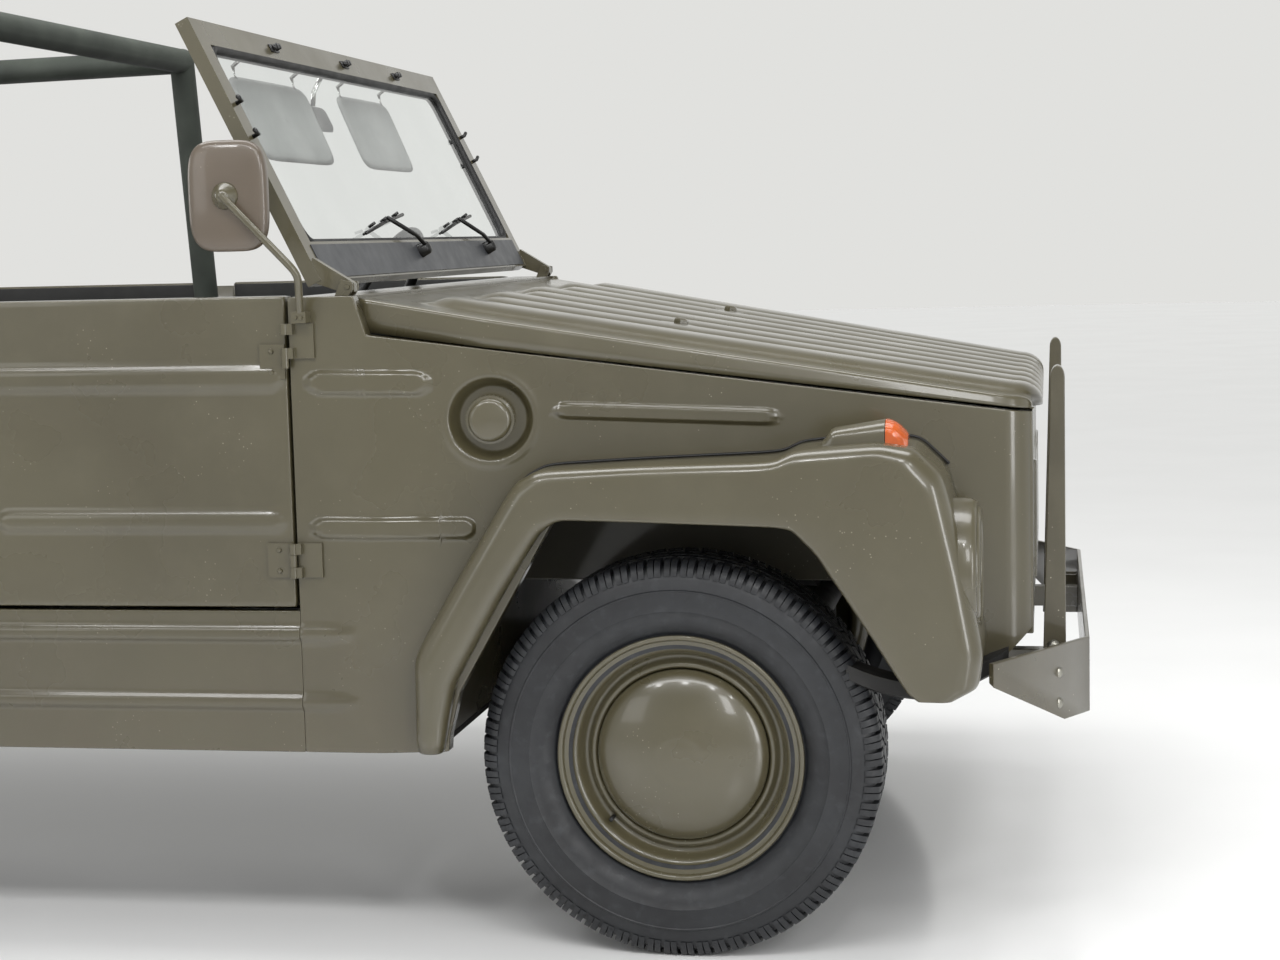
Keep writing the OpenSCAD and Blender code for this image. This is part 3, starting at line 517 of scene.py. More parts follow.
def rounded_path(points, per=14, soft=3):
    """Even stations along a polyline of rows, its corners softened by a running mean."""
    p = np.asarray(points, float)
    t = np.linspace(0, len(p) - 1, per * (len(p) - 1) + 1)
    q = np.stack([np.interp(t, np.arange(len(p)), p[:, k]) for k in range(p.shape[1])], 1)
    for _ in range(soft):
        q[1:-1] = (q[:-2] + q[1:-1] + q[2:]) / 3
    return q


def guard_sheet(stations, axle, s, body_y):
    """Pressed guard: at each station a section runs out from the body, rounds over and returns at the arch.
    Columns: outer x, outer z, arch x, arch z, shoulder radius, arch edge radius."""
    q = rounded_path(stations, 12, 4)
    rows = []
    for ax, az, bx, bz, r1, r2, reach in q:
        a, b = np.array([axle + ax, az]), np.array([axle + bx, bz])
        length = np.linalg.norm(b - a)
        t = (b - a) / length
        y0 = float(body_y(a[0]))
        y1 = y0 + (GUARD_Y - y0) * reach
        r1, r2 = min(r1, y1 - y0 - .004), min(r2, length * .45)
        u = [(0.0, y0 - .004), (0.0, y0 + .25 * (y1 - r1 - y0)), (0.0, y0 + .6 * (y1 - r1 - y0))]
        for phi in np.linspace(0, np.pi / 2, 9):
            u.append((r1 * (1 - math.cos(phi)), y1 - r1 * (1 - math.sin(phi))))
        flat = length - r1 - r2
        u += [(r1 + flat * k, y1) for k in (.25, .5, .75)]
        for phi in np.linspace(0, np.pi / 2, 7):
            u.append((length - r2 * (1 - math.sin(phi)), y1 - r2 * (1 - math.cos(phi))))
        u += [(length, y1 - r2 - .012)]
        rows.append([[a[0] + t[0] * d, s * y, a[1] + t[1] * d] for d, y in u])
    return np.array(rows)


FRONT_GUARD = [
    (-.402, .338, -.388, .338, .007, .007, .35), (-.414, .343, -.376, .343, .019, .018, .85),
    (-.417, .360, -.371, .358, .024, .022, 1.0), (-.417, .430, -.364, .400, .030, .026, 1.0),
    (-.417, .500, -.352, .455, .032, .026, 1.0), (-.330, .645, -.275, .590, .032, .024, 1.0),
    (-.245, .778, -.205, .700, .030, .018, 1.0), (-.205, .800, -.172, .722, .024, .008, 1.0),
    (-.050, .806, -.050, .719, .020, .005, 1.0), (.165, .811, .165, .711, .020, .005, 1.0),
    (.200, .828, .195, .706, .026, .008, 1.0), (.330, .838, .232, .668, .030, .010, 1.0),
    (.385, .828, .255, .632, .036, .010, 1.0), (.428, .785, .275, .602, .040, .010, 1.0),
    (.462, .640, .315, .540, .040, .010, 1.0), (.486, .510, .352, .480, .040, .010, 1.0),
    (.478, .458, .370, .452, .040, .010, 1.0), (.440, .440, .385, .441, .020, .008, 1.0)]
# The rear guard's front leg is the front guard's rear leg turned round
REAR_GUARD = [(-a, az, -b, bz, *rest) for a, az, b, bz, *rest in FRONT_GUARD[:8]] + [
    (-.050, .801, -.050, .719, .020, .005, 1.0), (-.205, .800, -.180, .716, .020, .008, 1.0),
    (-.245, .780, -.215, .692, .028, .014, 1.0), (-.430, .520, -.372, .478, .030, .020, 1.0),
    (-.440, .470, -.380, .450, .026, .016, 1.0)]


def guards(name, stations, axle, body_y, node):
    """A pair of guards as thin sheets."""
    b = Batch()
    for _, s, _ in both(1):
        b.grid(guard_sheet(stations, axle, s, body_y), flip=(s < 0) == (stations[0][0] < 0))
    o = b.make(name, "paint", "chassis", [node], weld=0)
    m = o.modifiers.new("sheet", "SOLIDIFY")
    m.thickness, m.offset = 0.0025, -1
    return o


guards("front_guard_sheets", FRONT_GUARD, AXLE_F, side_at, "front_guards")
guards("rear_guard_sheets", REAR_GUARD, AXLE_R, lambda x: SIDE_Y, "rear_guards")

# Headlamp pods, lenses and rings
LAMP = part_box("headlamps")
LAMP_X, LAMP_Z = LAMP[1].x, (LAMP[0].z + LAMP[1].z) / 2
LAMP_R = (LAMP[1].z - LAMP[0].z) / 2
LAMP_Y = LAMP[1].y - LAMP_R - .008
pods, rings, lenses = Batch(), Batch(), Batch()
for _, s, _ in both(1):
    at = (LAMP_X, s * LAMP_Y, LAMP_Z)
    pods.revolve([[LAMP_R + .011, -.125], [LAMP_R + .011, -.030], [LAMP_R + .010, -.014], [LAMP_R + .006, -.007],
                  [LAMP_R + .001, -.006], [LAMP_R - .001, -.012], [LAMP_R - .001, -.050]], at, (1, 0, 0), 72)
    rings.revolve([[LAMP_R - .001, -.016], [LAMP_R - .001, -.006], [LAMP_R - .006, -.001], [LAMP_R - .013, 0],
                   [LAMP_R - .016, -.004], [LAMP_R - .016, -.020]], at, (1, 0, 0), 72)
    q = np.linspace(0, 1, 12)
    lenses.revolve([[(LAMP_R - .014) * k, -.004 - .012 * k ** 2] for k in q], at, (1, 0, 0), 72)
pods.make("headlamp_pods", "paint")
beads, lips = Batch(), Batch()
for _, s, _ in both(1):
    run = rounded_path([(q[0], q[1]) for q in FRONT_GUARD[2:14]], 10, 4)
    beads.tube([(AXLE_F + u, s * (float(side_at(AXLE_F + u)) + .0015), v + .0015) for u, v in run], .0024, 8)
    u = np.linspace(-1, 1, 24)
    section = ((0, 0), (.004, .022), (.050, .026), (.052, .020), (.006, -.004))
    lips.grid(np.array([[(1.635 + .125 * q, s * (SIDE_Y - .025 - .14 * max(q, 0) - w), .432 + .030 * q * q + h)
                         for w, h in section] for q in u]), wrap_v=True, caps=True)
beads.make("front_guard_beads", "trim")
smooth_by_angle(lips.make("front_well_lips", "chassis"), 45)
rings.make("headlamp_rings", "paint")
lenses.make("headlamp_lenses", "clear", stands_for=["headlamps"])

# ---- bonnet


def bonnet_skin():
    """Pressed bonnet: a sloping top with long ribs that fade at the rear and run over the rounded front,
    with turned-down sides. Height = slope line + rib height x fade, over rows from rear to front."""
    x0, x1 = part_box("bonnet")[0].x, NOSE_X
    z0, z1, low0, low1 = 1.074, .886, 1.0165, .8655
    rear_w, r, n_rib = SIDE_Y - .050, .030, 8
    line = [(x, z0 + (z1 - z0) * (x - x0) / (x1 - x0), 0.0) for x in np.linspace(x0, x1 - r, 56)]
    for phi in np.linspace(0, np.pi / 2, 9)[1:]:
        line.append((x1 - r + r * math.sin(phi), z1 + .005 - r * (1 - math.cos(phi)) * .62, phi))
    line.append((x1, low1 + .001, np.pi / 2))
    share = np.linspace(-1, 1, 257)
    rows = []
    for x, z, phi in line:
        w = float(min(rear_w, side_at(x) - .016) - corner_drop(x) - .004 * (1 - math.cos(phi)))
        low = min(z - .001, low0 + .004 + (low1 - low0) * (x - x0) / (x1 - x0))
        low = max(low, z - .055)
        y = share * w
        top = np.full_like(y, z)
        pitch = 2 * .90 * w / n_rib
        k = y / pitch + n_rib / 2
        d = np.abs(k % 1 - .5) * 2
        start = x0 + .070 + .030 * (np.floor(k) % 2) + .045 * d ** 3
        fade = np.clip((x - start) / .055, 0, 1)
        h = .0165 * (1 - d ** 3) ** .8 * (np.abs(y) < .90 * w) * fade * fade * (3 - 2 * fade)
        p = np.stack([x + h * math.sin(phi), y, top + h * math.cos(phi)], -1)
        edge = []
        for sgn, end in ((-1, p[0]), (1, p[-1])):
            q = []
            for a in np.linspace(0, np.pi / 2, 6)[1:]:
                q.append([x, end[1] + sgn * .008 * math.sin(a), z - .008 * (1 - math.cos(a))])
            q.append([x, end[1] + sgn * .010, (z - .008 + low) / 2])
            q.append([x, end[1] + sgn * .011, low])
            edge.append(np.array(q))
        rows.append(np.concatenate([edge[0][::-1], p, edge[1]]))
    b = Batch().grid(np.array(rows))
    o = b.make("bonnet_skin", "paint", "bonnet", ["bonnet"], weld=0)
    m = o.modifiers.new("sheet", "SOLIDIFY")
    m.thickness, m.offset = 0.003, -1
    return o


bonnet_skin()

# ---- pressed side panels


def ramp3(v):
    """Smooth step from 0 to 1."""
    v = np.clip(v, 0, 1)
    return v * v * (3 - 2 * v)


def pressed(x, z, ribs, dish=None):
    """Height of a panel's outer face: ribs are rounded bands with drawn-out ends, a dish is a round recess.
    A rib is (x0, z0, x1, z1, width); a dish is (x, z, radius, depth)."""
    h = np.zeros_like(x)
    for x0, z0, x1, z1, wide in ribs:
        length = math.hypot(x1 - x0, z1 - z0)
        dx, dz = (x1 - x0) / length, (z1 - z0) / length
        u, v = (x - x0) * dx + (z - z0) * dz, (z - z0) * dx - (x - x0) * dz
        near = np.clip(np.minimum(u, length - u) / (wide * (1.6 if wide < .031 else .40)), 0, 1)
        half = wide / 2 * near ** (.5 if wide < .031 else .3)
        h = np.maximum(h, .0068 * ramp3((half - np.abs(v)) / .009) * ramp3(near * 6))
    if dish:
        r = np.hypot(x - dish[0], z - dish[1])
        h = h - dish[3] * ramp3((dish[2] + .004 - r) / .016)
        h = h + .0016 * np.exp(-((r - dish[2] - .009) / .006) ** 2)
    return h


def panel(b, s, xs, low, top, y_of, ribs, depth, dish=None, rows=90, edge=.004, fine=()):
    """Closed pressed panel on one side of the car. Columns stand at xs between two height functions,
    then the border rounds over and goes inward by the depth to a flat back."""
    xs = np.array(sorted(set(np.round(list(xs), 5))))
    t = np.array(sorted(set(np.round(np.concatenate([np.linspace(0, 1, rows), *fine]), 5))))
    z0, z1 = low(xs) + edge, top(xs) - edge
    x = np.repeat(xs[:, None], len(t), 1)
    z = z0[:, None] + (z1 - z0)[:, None] * t[None]
    out = y_of(x)
    front = np.stack([x, s * (out + pressed(x, z, ribs, dish)), z], -1)
    loop = np.concatenate([front[:, 0], front[-1, 1:], front[-2::-1, -1], front[0, -2:0:-1]])
    step = np.roll(loop, -1, 0) - np.roll(loop, 1, 0)
    n = np.stack([step[:, 2], -step[:, 0]], 1)
    n /= np.maximum(np.linalg.norm(n, axis=1), 1e-9)[:, None]
    rims = [loop]
    for a in (30, 60, 90):
        a = math.radians(a)
        q = loop.copy()
        q[:, [0, 2]] += n * edge * math.sin(a)
        q[:, 1] -= s * edge * (1 - math.cos(a))
        rims.append(q)
    last = rims[-1].copy()
    last[:, 1] = s * (y_of(last[:, 0]) - depth)
    rims.append(last)
    flip = s > 0
    b.grid(front, flip=flip)
    b.grid(np.array(rims), wrap_v=True, flip=flip)
    m, k = len(xs), len(t)
    bottom = np.arange(m)
    upper = [m - 1 + k - 1 + i for i in range(m)][::-1]
    base = b.n - len(loop)
    quads = [[base + k for k in (bottom[i], bottom[i + 1], upper[i + 1], upper[i])] for i in range(m - 1)]
    b.f += [q[::-1] if not flip else q for q in quads]
    return b


def flat(v):
    """A level edge."""
    return lambda x: np.full_like(x, v)


def line(*points):
    """An edge of straight runs through (x, z) points."""
    p = np.array(points)
    return lambda x: np.interp(x, p[:, 0], p[:, 1])


FLOOR_Z, BELT_Z, DOOR_Z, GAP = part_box("sills")[0].z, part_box("door_front_left")[1].z, .575, .006
DASH_X = .626
FRONT_LOW = line((DASH_X, FLOOR_Z), (.861, FLOOR_Z), (.8625, .358), (.881, .431), (1.045, .721), (1.448, .708),
                 (1.606, .456), (1.618, .434), (1.680, .430), (1.740, .455), (NOSE_X, .515))
FRONT_TOP = line((DASH_X, 1.078), (.733, 1.078), (.753, 1.015), (NOSE_X, .864))
LOW_RIBS = [(-.700, z, .718, z, .030) for z in (.531, .418)]
FRONT_RIBS = [(.655, .941, .851, .936, .044), (.655, .705, .917, .701, .040),
              (1.049, .888, 1.397, .868, .032)] + LOW_RIBS
FILLER = (.946, .876, .064, .020)
columns = np.concatenate([np.linspace(DASH_X + .0016, NOSE_X - .004, 150), np.linspace(.859, .884, 14),
                          np.linspace(.730, .756, 14), np.linspace(1.604, 1.622, 10), np.linspace(.872, 1.020, 66),
                          NOSE_X - .004 - NOSE_R * (1 - np.sin(np.linspace(0, np.pi / 2, 16)))])
for side, s, _ in both(1):
    dish, fine = (FILLER, [np.linspace(.35, .95, 80)]) if side == "right" else (None, [])
    b = panel(Batch(), s, columns, FRONT_LOW, FRONT_TOP, soft_side, FRONT_RIBS, .028, dish, rows=110, edge=.0016,
              fine=fine)
    b.make("front_side_skin_" + side, "paint_low", "chassis", ["front_sides"], weld=2e-5)

DOOR_R = .130
DOORS = {"front": (-.022, .620, [(-.008, .952, .612, .948, .044), (.110, .717, .606, .716, .038)]),
         "rear": (-.726, -.084, [(-.712, .952, -.096, .948, .044), (-.706, .717, -.216, .716, .038)])}
DOOR_ARC = DOOR_R * (1 - np.cos(np.linspace(0, np.pi / 2, 26)))


def door_foot(x, corner_x, turn):
    """Lower edge of a door: level, with a round corner beyond corner_x on the side that turn points to."""
    over = np.maximum(turn * (x - corner_x), 0)
    return DOOR_Z + DOOR_R - np.sqrt(np.maximum(DOOR_R ** 2 - over ** 2, 0))


for end, (x0, x1, ribs) in DOORS.items():
    if end == "front":
        low = partial(door_foot, corner_x=x0 + DOOR_R, turn=-1)
        dense = x0 + .004 + DOOR_ARC
    else:
        low = partial(door_foot, corner_x=x1 - DOOR_R, turn=1)
        dense = x1 - .004 - DOOR_ARC
    for side, s, _ in both(1):
        name = f"door_{end}_{side}"
        columns = np.concatenate([np.linspace(x0 + .004, x1 - .004, 96), dense])
        b = panel(Batch(), s, columns, low, flat(BELT_Z), flat(SIDE_Y), ribs, .038, rows=80)
        b.make(name + "_skin", "paint", name, [name], weld=2e-5)
        columns = np.concatenate([np.linspace(x0 + .012, x1 - .012, 40), dense])
        card = panel(Batch(), -s, columns, lambda x, f=low: f(x) + .012, flat(BELT_Z - .004),
                     flat(-(SIDE_Y - .0405)), [], .002, rows=16, edge=.0015)
        card.make(name + "_trim_card", "card", name, weld=2e-5)
        h = Batch()
        hx = .055 if end == "front" else -.161
        h.tube([(hx - .035, s * (SIDE_Y + .002), 1.017), (hx - .033, s * (SIDE_Y + .014), 1.017),
                (hx - .020, s * (SIDE_Y + .019), 1.017), (hx + .025, s * (SIDE_Y + .019), 1.017),
                (hx + .035, s * (SIDE_Y + .017), 1.017)], .0045, 10)
        h.revolve([[.0005, .006], [.012, .005], [.015, .002], [.015, -.001]], (hx - .035, s * SIDE_Y, 1.017),
                  (0, s, 0), 32)
        h.make(name + "_handle", "chrome", name)
        for hz in (.975, .653):
            pin_x = .623 if end == "front" else -.723
            lead = -1 if end == "front" else 1
            g = Batch()
            y0 = SIDE_Y
            lo, hi = sorted((pin_x + lead * .046, pin_x + lead * .004))
            near, far = sorted((s * y0, s * (y0 + .005)))
            g.block((lo, near, hz - .028), (hi, far, hz + .028))
            g.tube([(pin_x, s * (y0 + .013), hz - .010), (pin_x, s * (y0 + .013), hz + .010)], .006, 16)
            for dz in (-.017, .017):
                g.revolve([[.0003, .0082], [.003, .0078], [.0046, .005], [.0046, .004]],
                          (pin_x + lead * .026, s * y0, hz + dz), (0, s, 0), 20)
            o = g.make(f"{name}_hinge_{int(hz * 1000)}", "paint", name)
            smooth_by_angle(o)

SILL_R = DOOR_R + GAP


def sill_top(x):
    """Upper edge of a sill: under the doors' rounded corners by a gap, and up the pillar between them."""
    past = np.where(x >= -.028, np.minimum(x - .108, 0), np.maximum(x + .214, 0))
    under_doors = DOOR_Z + DOOR_R - np.sqrt(np.maximum(SILL_R ** 2 - past ** 2, 0))
    return np.where((x > -.078) & (x < -.028), 1.072, under_doors)


corner = SILL_R * (1 - np.cos(np.linspace(0, np.pi / 2, 24)))
columns = np.concatenate([np.linspace(-.726, .6246, 180), -.0281 + corner * 1.0, -.0779 - corner,
                          [-.0775, -.0779, -.0285, -.0281]])
b = Batch()
for _, s, _ in both(1):
    panel(b, s, columns, flat(FLOOR_Z), sill_top, flat(SIDE_Y), LOW_RIBS, .028, rows=60, edge=.0012)
b.make("sill_skins", "paint_low", "chassis", ["sills"], weld=2e-5)

QUARTER_LOW = line((-1.766, .430), (-1.540, .440), (-1.519, .456), (-1.368, .708), (-.965, .721), (-.801, .431),
                   (-.7825, .358), (-.781, FLOOR_Z), (-.726, FLOOR_Z))
QUARTER_TOP = line((-1.770, .620), (-1.570, 1.056), (-1.540, 1.066), (-.726, 1.078))
columns = np.concatenate([np.linspace(-1.766, -.730, 140), np.linspace(-.805, -.778, 14)])
b = Batch()
for _, s, _ in both(1):
    panel(b, s, columns, QUARTER_LOW, QUARTER_TOP, flat(SIDE_Y), [(-1.500, .942, -.756, .948, .044)], .028,
          rows=90)
b.make("rear_quarter_skins", "paint_low", "chassis", ["rear_quarters"], weld=2e-5)

# ---- windscreen

# The screen leans back by this angle: unit vectors up its slope and straight out of it
LEAN = math.radians(25.8)
UP = np.array([-math.sin(LEAN), 0, math.cos(LEAN)])
OUT = np.array([math.cos(LEAN), 0, math.sin(LEAN)])
G0, G1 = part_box("screen_glass")
GLASS_H = (G1.z - G0.z - .006 * OUT[2]) / UP[2]
GLASS_MID = np.array([(G0.x + G1.x) / 2, 0, (G0.z + G1.z) / 2])
GLASS_Y = G1.y


def on_screen(y, up, out=0.0):
    """Point on the screen: across from the middle, up from the glass's lower edge, out of its plane."""
    return GLASS_MID + np.array([0, y, 0]) + UP * (up - GLASS_H / 2) + OUT * out


def screen_ring(b, inset, out, radius, corner=.035):
    """Round cord along the glass's outline, a rectangle with round corners."""
    pts = []
    for cy, cz, a0 in ((1, 1, 0), (-1, 1, 90), (-1, -1, 180), (1, -1, 270)):
        for a in np.radians(np.linspace(a0, a0 + 90, 8)):
            yy = cy * (GLASS_Y - inset - corner) + corner * math.cos(a)
            zz = GLASS_H / 2 + cz * (GLASS_H / 2 - inset - corner) + corner * math.sin(a)
            pts.append(on_screen(yy, zz, out))
    pts = np.array(pts)
    d = np.roll(pts, -1, 0) - np.roll(pts, 1, 0)
    d /= np.linalg.norm(d, axis=1)[:, None]
    side = np.cross(d, OUT)
    phi = np.linspace(0, 2 * np.pi, 8, endpoint=False)
    c, e = np.cos(phi)[None, :, None], np.sin(phi)[None, :, None]
    return b.grid(pts[:, None] + radius * (c * side[:, None] + e * OUT), wrap_u=True, wrap_v=True)


seal = Batch()
screen_ring(seal, 0, .004, .008)
screen_ring(seal, 0, -.004, .008)
seal.make("screen_seal", "trim", "windscreen")


def slab_on_screen(b, y0, y1, u0, u1, o0, o1):
    """Block in the screen's own axes: across, up and out."""
    c = [on_screen(y, u, o) for y in (y0, y1) for u in (u0, u1) for o in (o0, o1)]
    b.v.append(np.array(c))
    b.f += [[k + b.n for k in face] for face in BOX_FACES]
    b.n += 8
    return b


band = slab_on_screen(Batch(), -GLASS_Y - .010, GLASS_Y + .010, -.066, -.006, .0121, .0136)
band.make("screen_lower_band", "band", "windscreen", smooth=False)
knobs = Batch()
for y in (-.36, .05, .40):
    slab_on_screen(knobs, y - .020, y + .020, GLASS_H + .014, GLASS_H + .028, .012, .0145)
    for dy in (-.007, .007):
        knobs.tube([on_screen(y + dy, GLASS_H + .021, o) for o in (.010, .024)], .0055, 12)
for y in (-1, 1):
    for u in (.19, .25):
        knobs.tube([on_screen(y * (GLASS_Y + .020), u, .010), on_screen(y * (GLASS_Y + .020), u, .022),
                    on_screen(y * (GLASS_Y + .034), u + .006, .024)], .004, 8)
knobs.make("screen_fasteners", "plastic", "windscreen")

wip = Batch()
for y in (-.080, .430):
    wip.revolve([[.0005, .022], [.009, .021], [.013, .016], [.014, .0], [.014, -.014]],
                on_screen(y, -.025, .014), OUT, 24)
    wip.tube([on_screen(y + k, u, o) for k, u, o in ((0, -.025, .030), (-.035, 0, .030), (-.150, .038, .026))],
             .0042, 8)
    for o, r in ((.012, .0025), (.017, .0035)):
        wip.tube([on_screen(y + k, u, o) for k, u in ((-.300, .012), (-.150, .034), (-.010, .050))], r, 8)
    for k in (-.24, -.15, -.06):
        up = (k + .30) * .12
        wip.tube([on_screen(y + k, .020 + up, .010), on_screen(y + k, .022 + up, .024)], .003, 6)
wip.make("wiper_arms", "plastic", "windscreen", ["wipers"])


def pad(b, y0, y1, u0, u1, out, thick, corner, tilt=0.0):
    """Soft rectangle with rounded corners: a superellipse outline with a domed thickness, both faces."""
    phi = np.linspace(0, 2 * np.pi, 64, endpoint=False)
    k = 2 / (2 + 6 * (1 - corner))
    c, s_ = np.sign(np.cos(phi)) * np.abs(np.cos(phi)) ** k, np.sign(np.sin(phi)) * np.abs(np.sin(phi)) ** k
    rows = []
    for side, shares in ((1, np.linspace(.02, 1, 10)), (-1, np.linspace(1, .02, 10))):
        for q in shares:
            o = out + side * thick / 2 * (1 - q ** 5) ** .5
            rows.append([on_screen((y0 + y1) / 2 + (y1 - y0) / 2 * q * a, (u0 + u1) / 2 + (u1 - u0) / 2 * q * e,
                                   o + tilt * (1 - e * q)) for a, e in zip(c, s_)])
    return b.grid(np.array(rows), wrap_v=True, flip=True)


visors = Batch()
for y0, y1 in ((-.510, -.090), (.090, .450)):
    pad(visors, y0, y1, GLASS_H - .170, GLASS_H - .010, -.045, .014, .06, -.004)
visors.make("sun_visors", "visor", "windscreen")
hang = Batch()
for y in (-.46, -.15, .13, .41):
    hang.tube([on_screen(y, GLASS_H + .012, -.014), on_screen(y, GLASS_H + .006, -.040),
               on_screen(y, GLASS_H - .020, -.046)], .004, 8)
hang.tube([on_screen(-.03, GLASS_H + .010, -.014), on_screen(-.03, GLASS_H - .012, -.045),
           on_screen(-.03, GLASS_H - .035, -.060)], .005, 8)
hang.make("visor_and_mirror_stems", "chrome", "windscreen")
inner = pad(Batch(), -.120, .060, GLASS_H - .085, GLASS_H - .030, -.068, .014, .4)
inner.make("inner_mirror_shell", "plastic", "windscreen")

# ---- outside mirrors
MIRROR_LO, MIRROR_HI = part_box("mirror_right")
HEAD = np.array([MIRROR_LO.x + .065, -(SIDE_Y + .030), MIRROR_HI.z - .088])


def oval(q, y, power=.5):
    """Rounded-rectangle ring of the mirror head at a share of its size, at a distance out of its middle."""
    phi = np.linspace(0, 2 * np.pi, 72, endpoint=False)
    c = np.sign(np.cos(phi)) * np.abs(np.cos(phi)) ** power
    e = np.sign(np.sin(phi)) * np.abs(np.sin(phi)) ** power
    return [HEAD + np.array([.065 * q * a, -y, .088 * q * f]) for a, f in zip(c, e)]


domes = [(q, .003 + .011 * math.sqrt(1 - q ** 3.2)) for q in np.linspace(.02, .98, 14)]
rim_rows = [(1.0, .001), (1.0, -.009), (.985, -.013), (.955, -.0135), (.945, -.011)]
Batch().grid(np.array([oval(q, y) for q, y in domes + rim_rows]), wrap_v=True).make(
    "mirror_shell", "mirror_paint", "chassis", ["mirror_right"])
Batch().grid(np.array([oval(q, -.0112) for q in (.02, .5, .95)]), wrap_v=True, flip=True).make(
    "mirror_face", "mirror")
arm = Batch()
arm.revolve([[.0005, .020], [.006, .0195], [.011, .016], [.0145, .010], [.020, .006], [.022, .002], [.022, -.004]],
            HEAD - [0, .0125, 0], (0, -1, 0), 36)
ball, knee = HEAD - [0, .0285, 0], np.array([.662, -(SIDE_Y + .048), 1.115])
foot = np.array([.652, -(SIDE_Y + .016), 1.045])
bends = [ball, ball * .7 + knee * .3, ball * .3 + knee * .7, knee, knee * .5 + foot * .5, foot]
arm.tube(rounded_path(bends, 8, 5), .0062, 14)
arm.block((.640, -(SIDE_Y + .026), 1.037), (.664, -(SIDE_Y + .0005), 1.055))
for dz in (-.0045, .0045):
    arm.tube([(.652 + dz, -(SIDE_Y + .026), 1.046), (.652 + dz, -(SIDE_Y + .030), 1.046)], .003, 8)
smooth_by_angle(arm.make("mirror_arm", "paint"), 40)

# ---- indicators, filler cap, knobs
IND_LO, IND_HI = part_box("indicators")


def indicator(b, lens_b, s):
    """Drawn-out housing on the guard: half-oval sections that grow forward; the lens is its front end."""
    yc = s * (SIDE_Y - .030)
    for batch, x0, x1 in ((b, IND_LO.x, IND_HI.x - .037), (lens_b, IND_HI.x - .036, IND_HI.x - .002)):
        rows = []
        for x in np.linspace(x0, x1, 16):
            q = (x - IND_LO.x) / (IND_HI.x - .036 - IND_LO.x)
            grow = (.55 + .45 * min(1.0, q)) * min(1.0, max(q, .02) / .16) ** .5
            if q > 1:
                grow = 1.0 - .55 * ((q - 1) / .32) ** 2
            half, tall = .031 * (.62 + .38 * grow), (IND_HI.z - IND_LO.z - .002) * grow
            foot = IND_LO.z + (.004 if q > .1 else .0) - .006
            phi = np.linspace(0, np.pi, 20)
            rows.append([[x, yc + half * math.cos(a), foot + (tall + .006) * abs(math.sin(a)) ** .55]
                         for a in phi])
        batch.grid(np.array(rows), flip=True, caps=True)


houses, ambers = Batch(), Batch()
for _, s, _ in both(1):
    indicator(houses, ambers, s)
smooth_by_angle(houses.make("indicator_housings", "paint"), 45)
smooth_by_angle(ambers.make("indicator_lenses", "amber", "chassis", ["indicators"]), 45)

turn = math.atan((SIDE_Y - NOSE_Y) / (NOSE_X - BEND_X))
AXIS = np.array([math.sin(turn), -math.cos(turn), 0])
at = np.array([FILLER[0], -float(side_at(FILLER[0])), FILLER[1]]) - AXIS * .0195
b = Batch().revolve([[.0005, .0465], [.012, .0460], [.020, .0445], [.026, .0440], [.031, .0425], [.0345, .0380],
                     [.0345, .0340], [.0385, .0330], [.0385, .0200], [.0360, .0180], [.0300, .0180], [.0300, .0],
                     [.0440, .0], [.0440, -.002]], at, AXIS, 96)
for k in range(36):
    a = 2 * np.pi * k / 36
    u = np.array([0, 0, 1.0]) * math.cos(a) + np.cross(AXIS, [0, 0, 1.0]) * math.sin(a)
    b.tube([at + u * .0385 + AXIS * .021, at + u * .0385 + AXIS * .032], .0014, 6)
smooth_by_angle(b.make("filler_cap_turned", "paint", "chassis", ["filler_cap"]), 40)

rests = Batch()
for y in (-.316, .316):
    c, slope = np.array([1.19, y, 1.004]), math.atan(.182)
    nrm = np.array([math.sin(slope), 0, math.cos(slope)])
    fwd = np.array([math.cos(slope), 0, -math.sin(slope)])
    ring = [c + fwd * .040 * math.cos(a) + np.array([0, .026 * math.sin(a), 0])
            for a in np.linspace(0, 2 * np.pi, 5)[:4]]
    rests.grid(np.array([[q + nrm * k for q in ring] for k in (0.0, .0025)]), wrap_v=True, caps=True)
    rests.revolve([[.0005, .0135], [.007, .013], [.0125, .011], [.0135, .008], [.0135, .002]], c, nrm, 6)
rests.make("screen_rest_knobs", "paint", "bonnet", smooth=False)

# ---- bumper hardware, seats

bolts = Batch()
for _, s, _ in both(1):
    for x, z in ((1.832, .470), (1.832, .395)):
        bolts.revolve([[.0005, .0075], [.006, .007], [.010, .0045], [.0115, .001], [.0115, -.001]],
                      (x, s * .499, z), (0, s, 0), 24)
    for x, z in ((1.866, .445), (1.866, .395)):
        out = np.array([.42, s * .91, 0])
        bolts.revolve([[.0005, .0070], [.006, .0065], [.010, .004], [.0105, .0], [.0105, -.004]],
                      (x - .030, s * .590, z), out / np.linalg.norm(out), 24)
bolts.make("bumper_bolts", "steel")


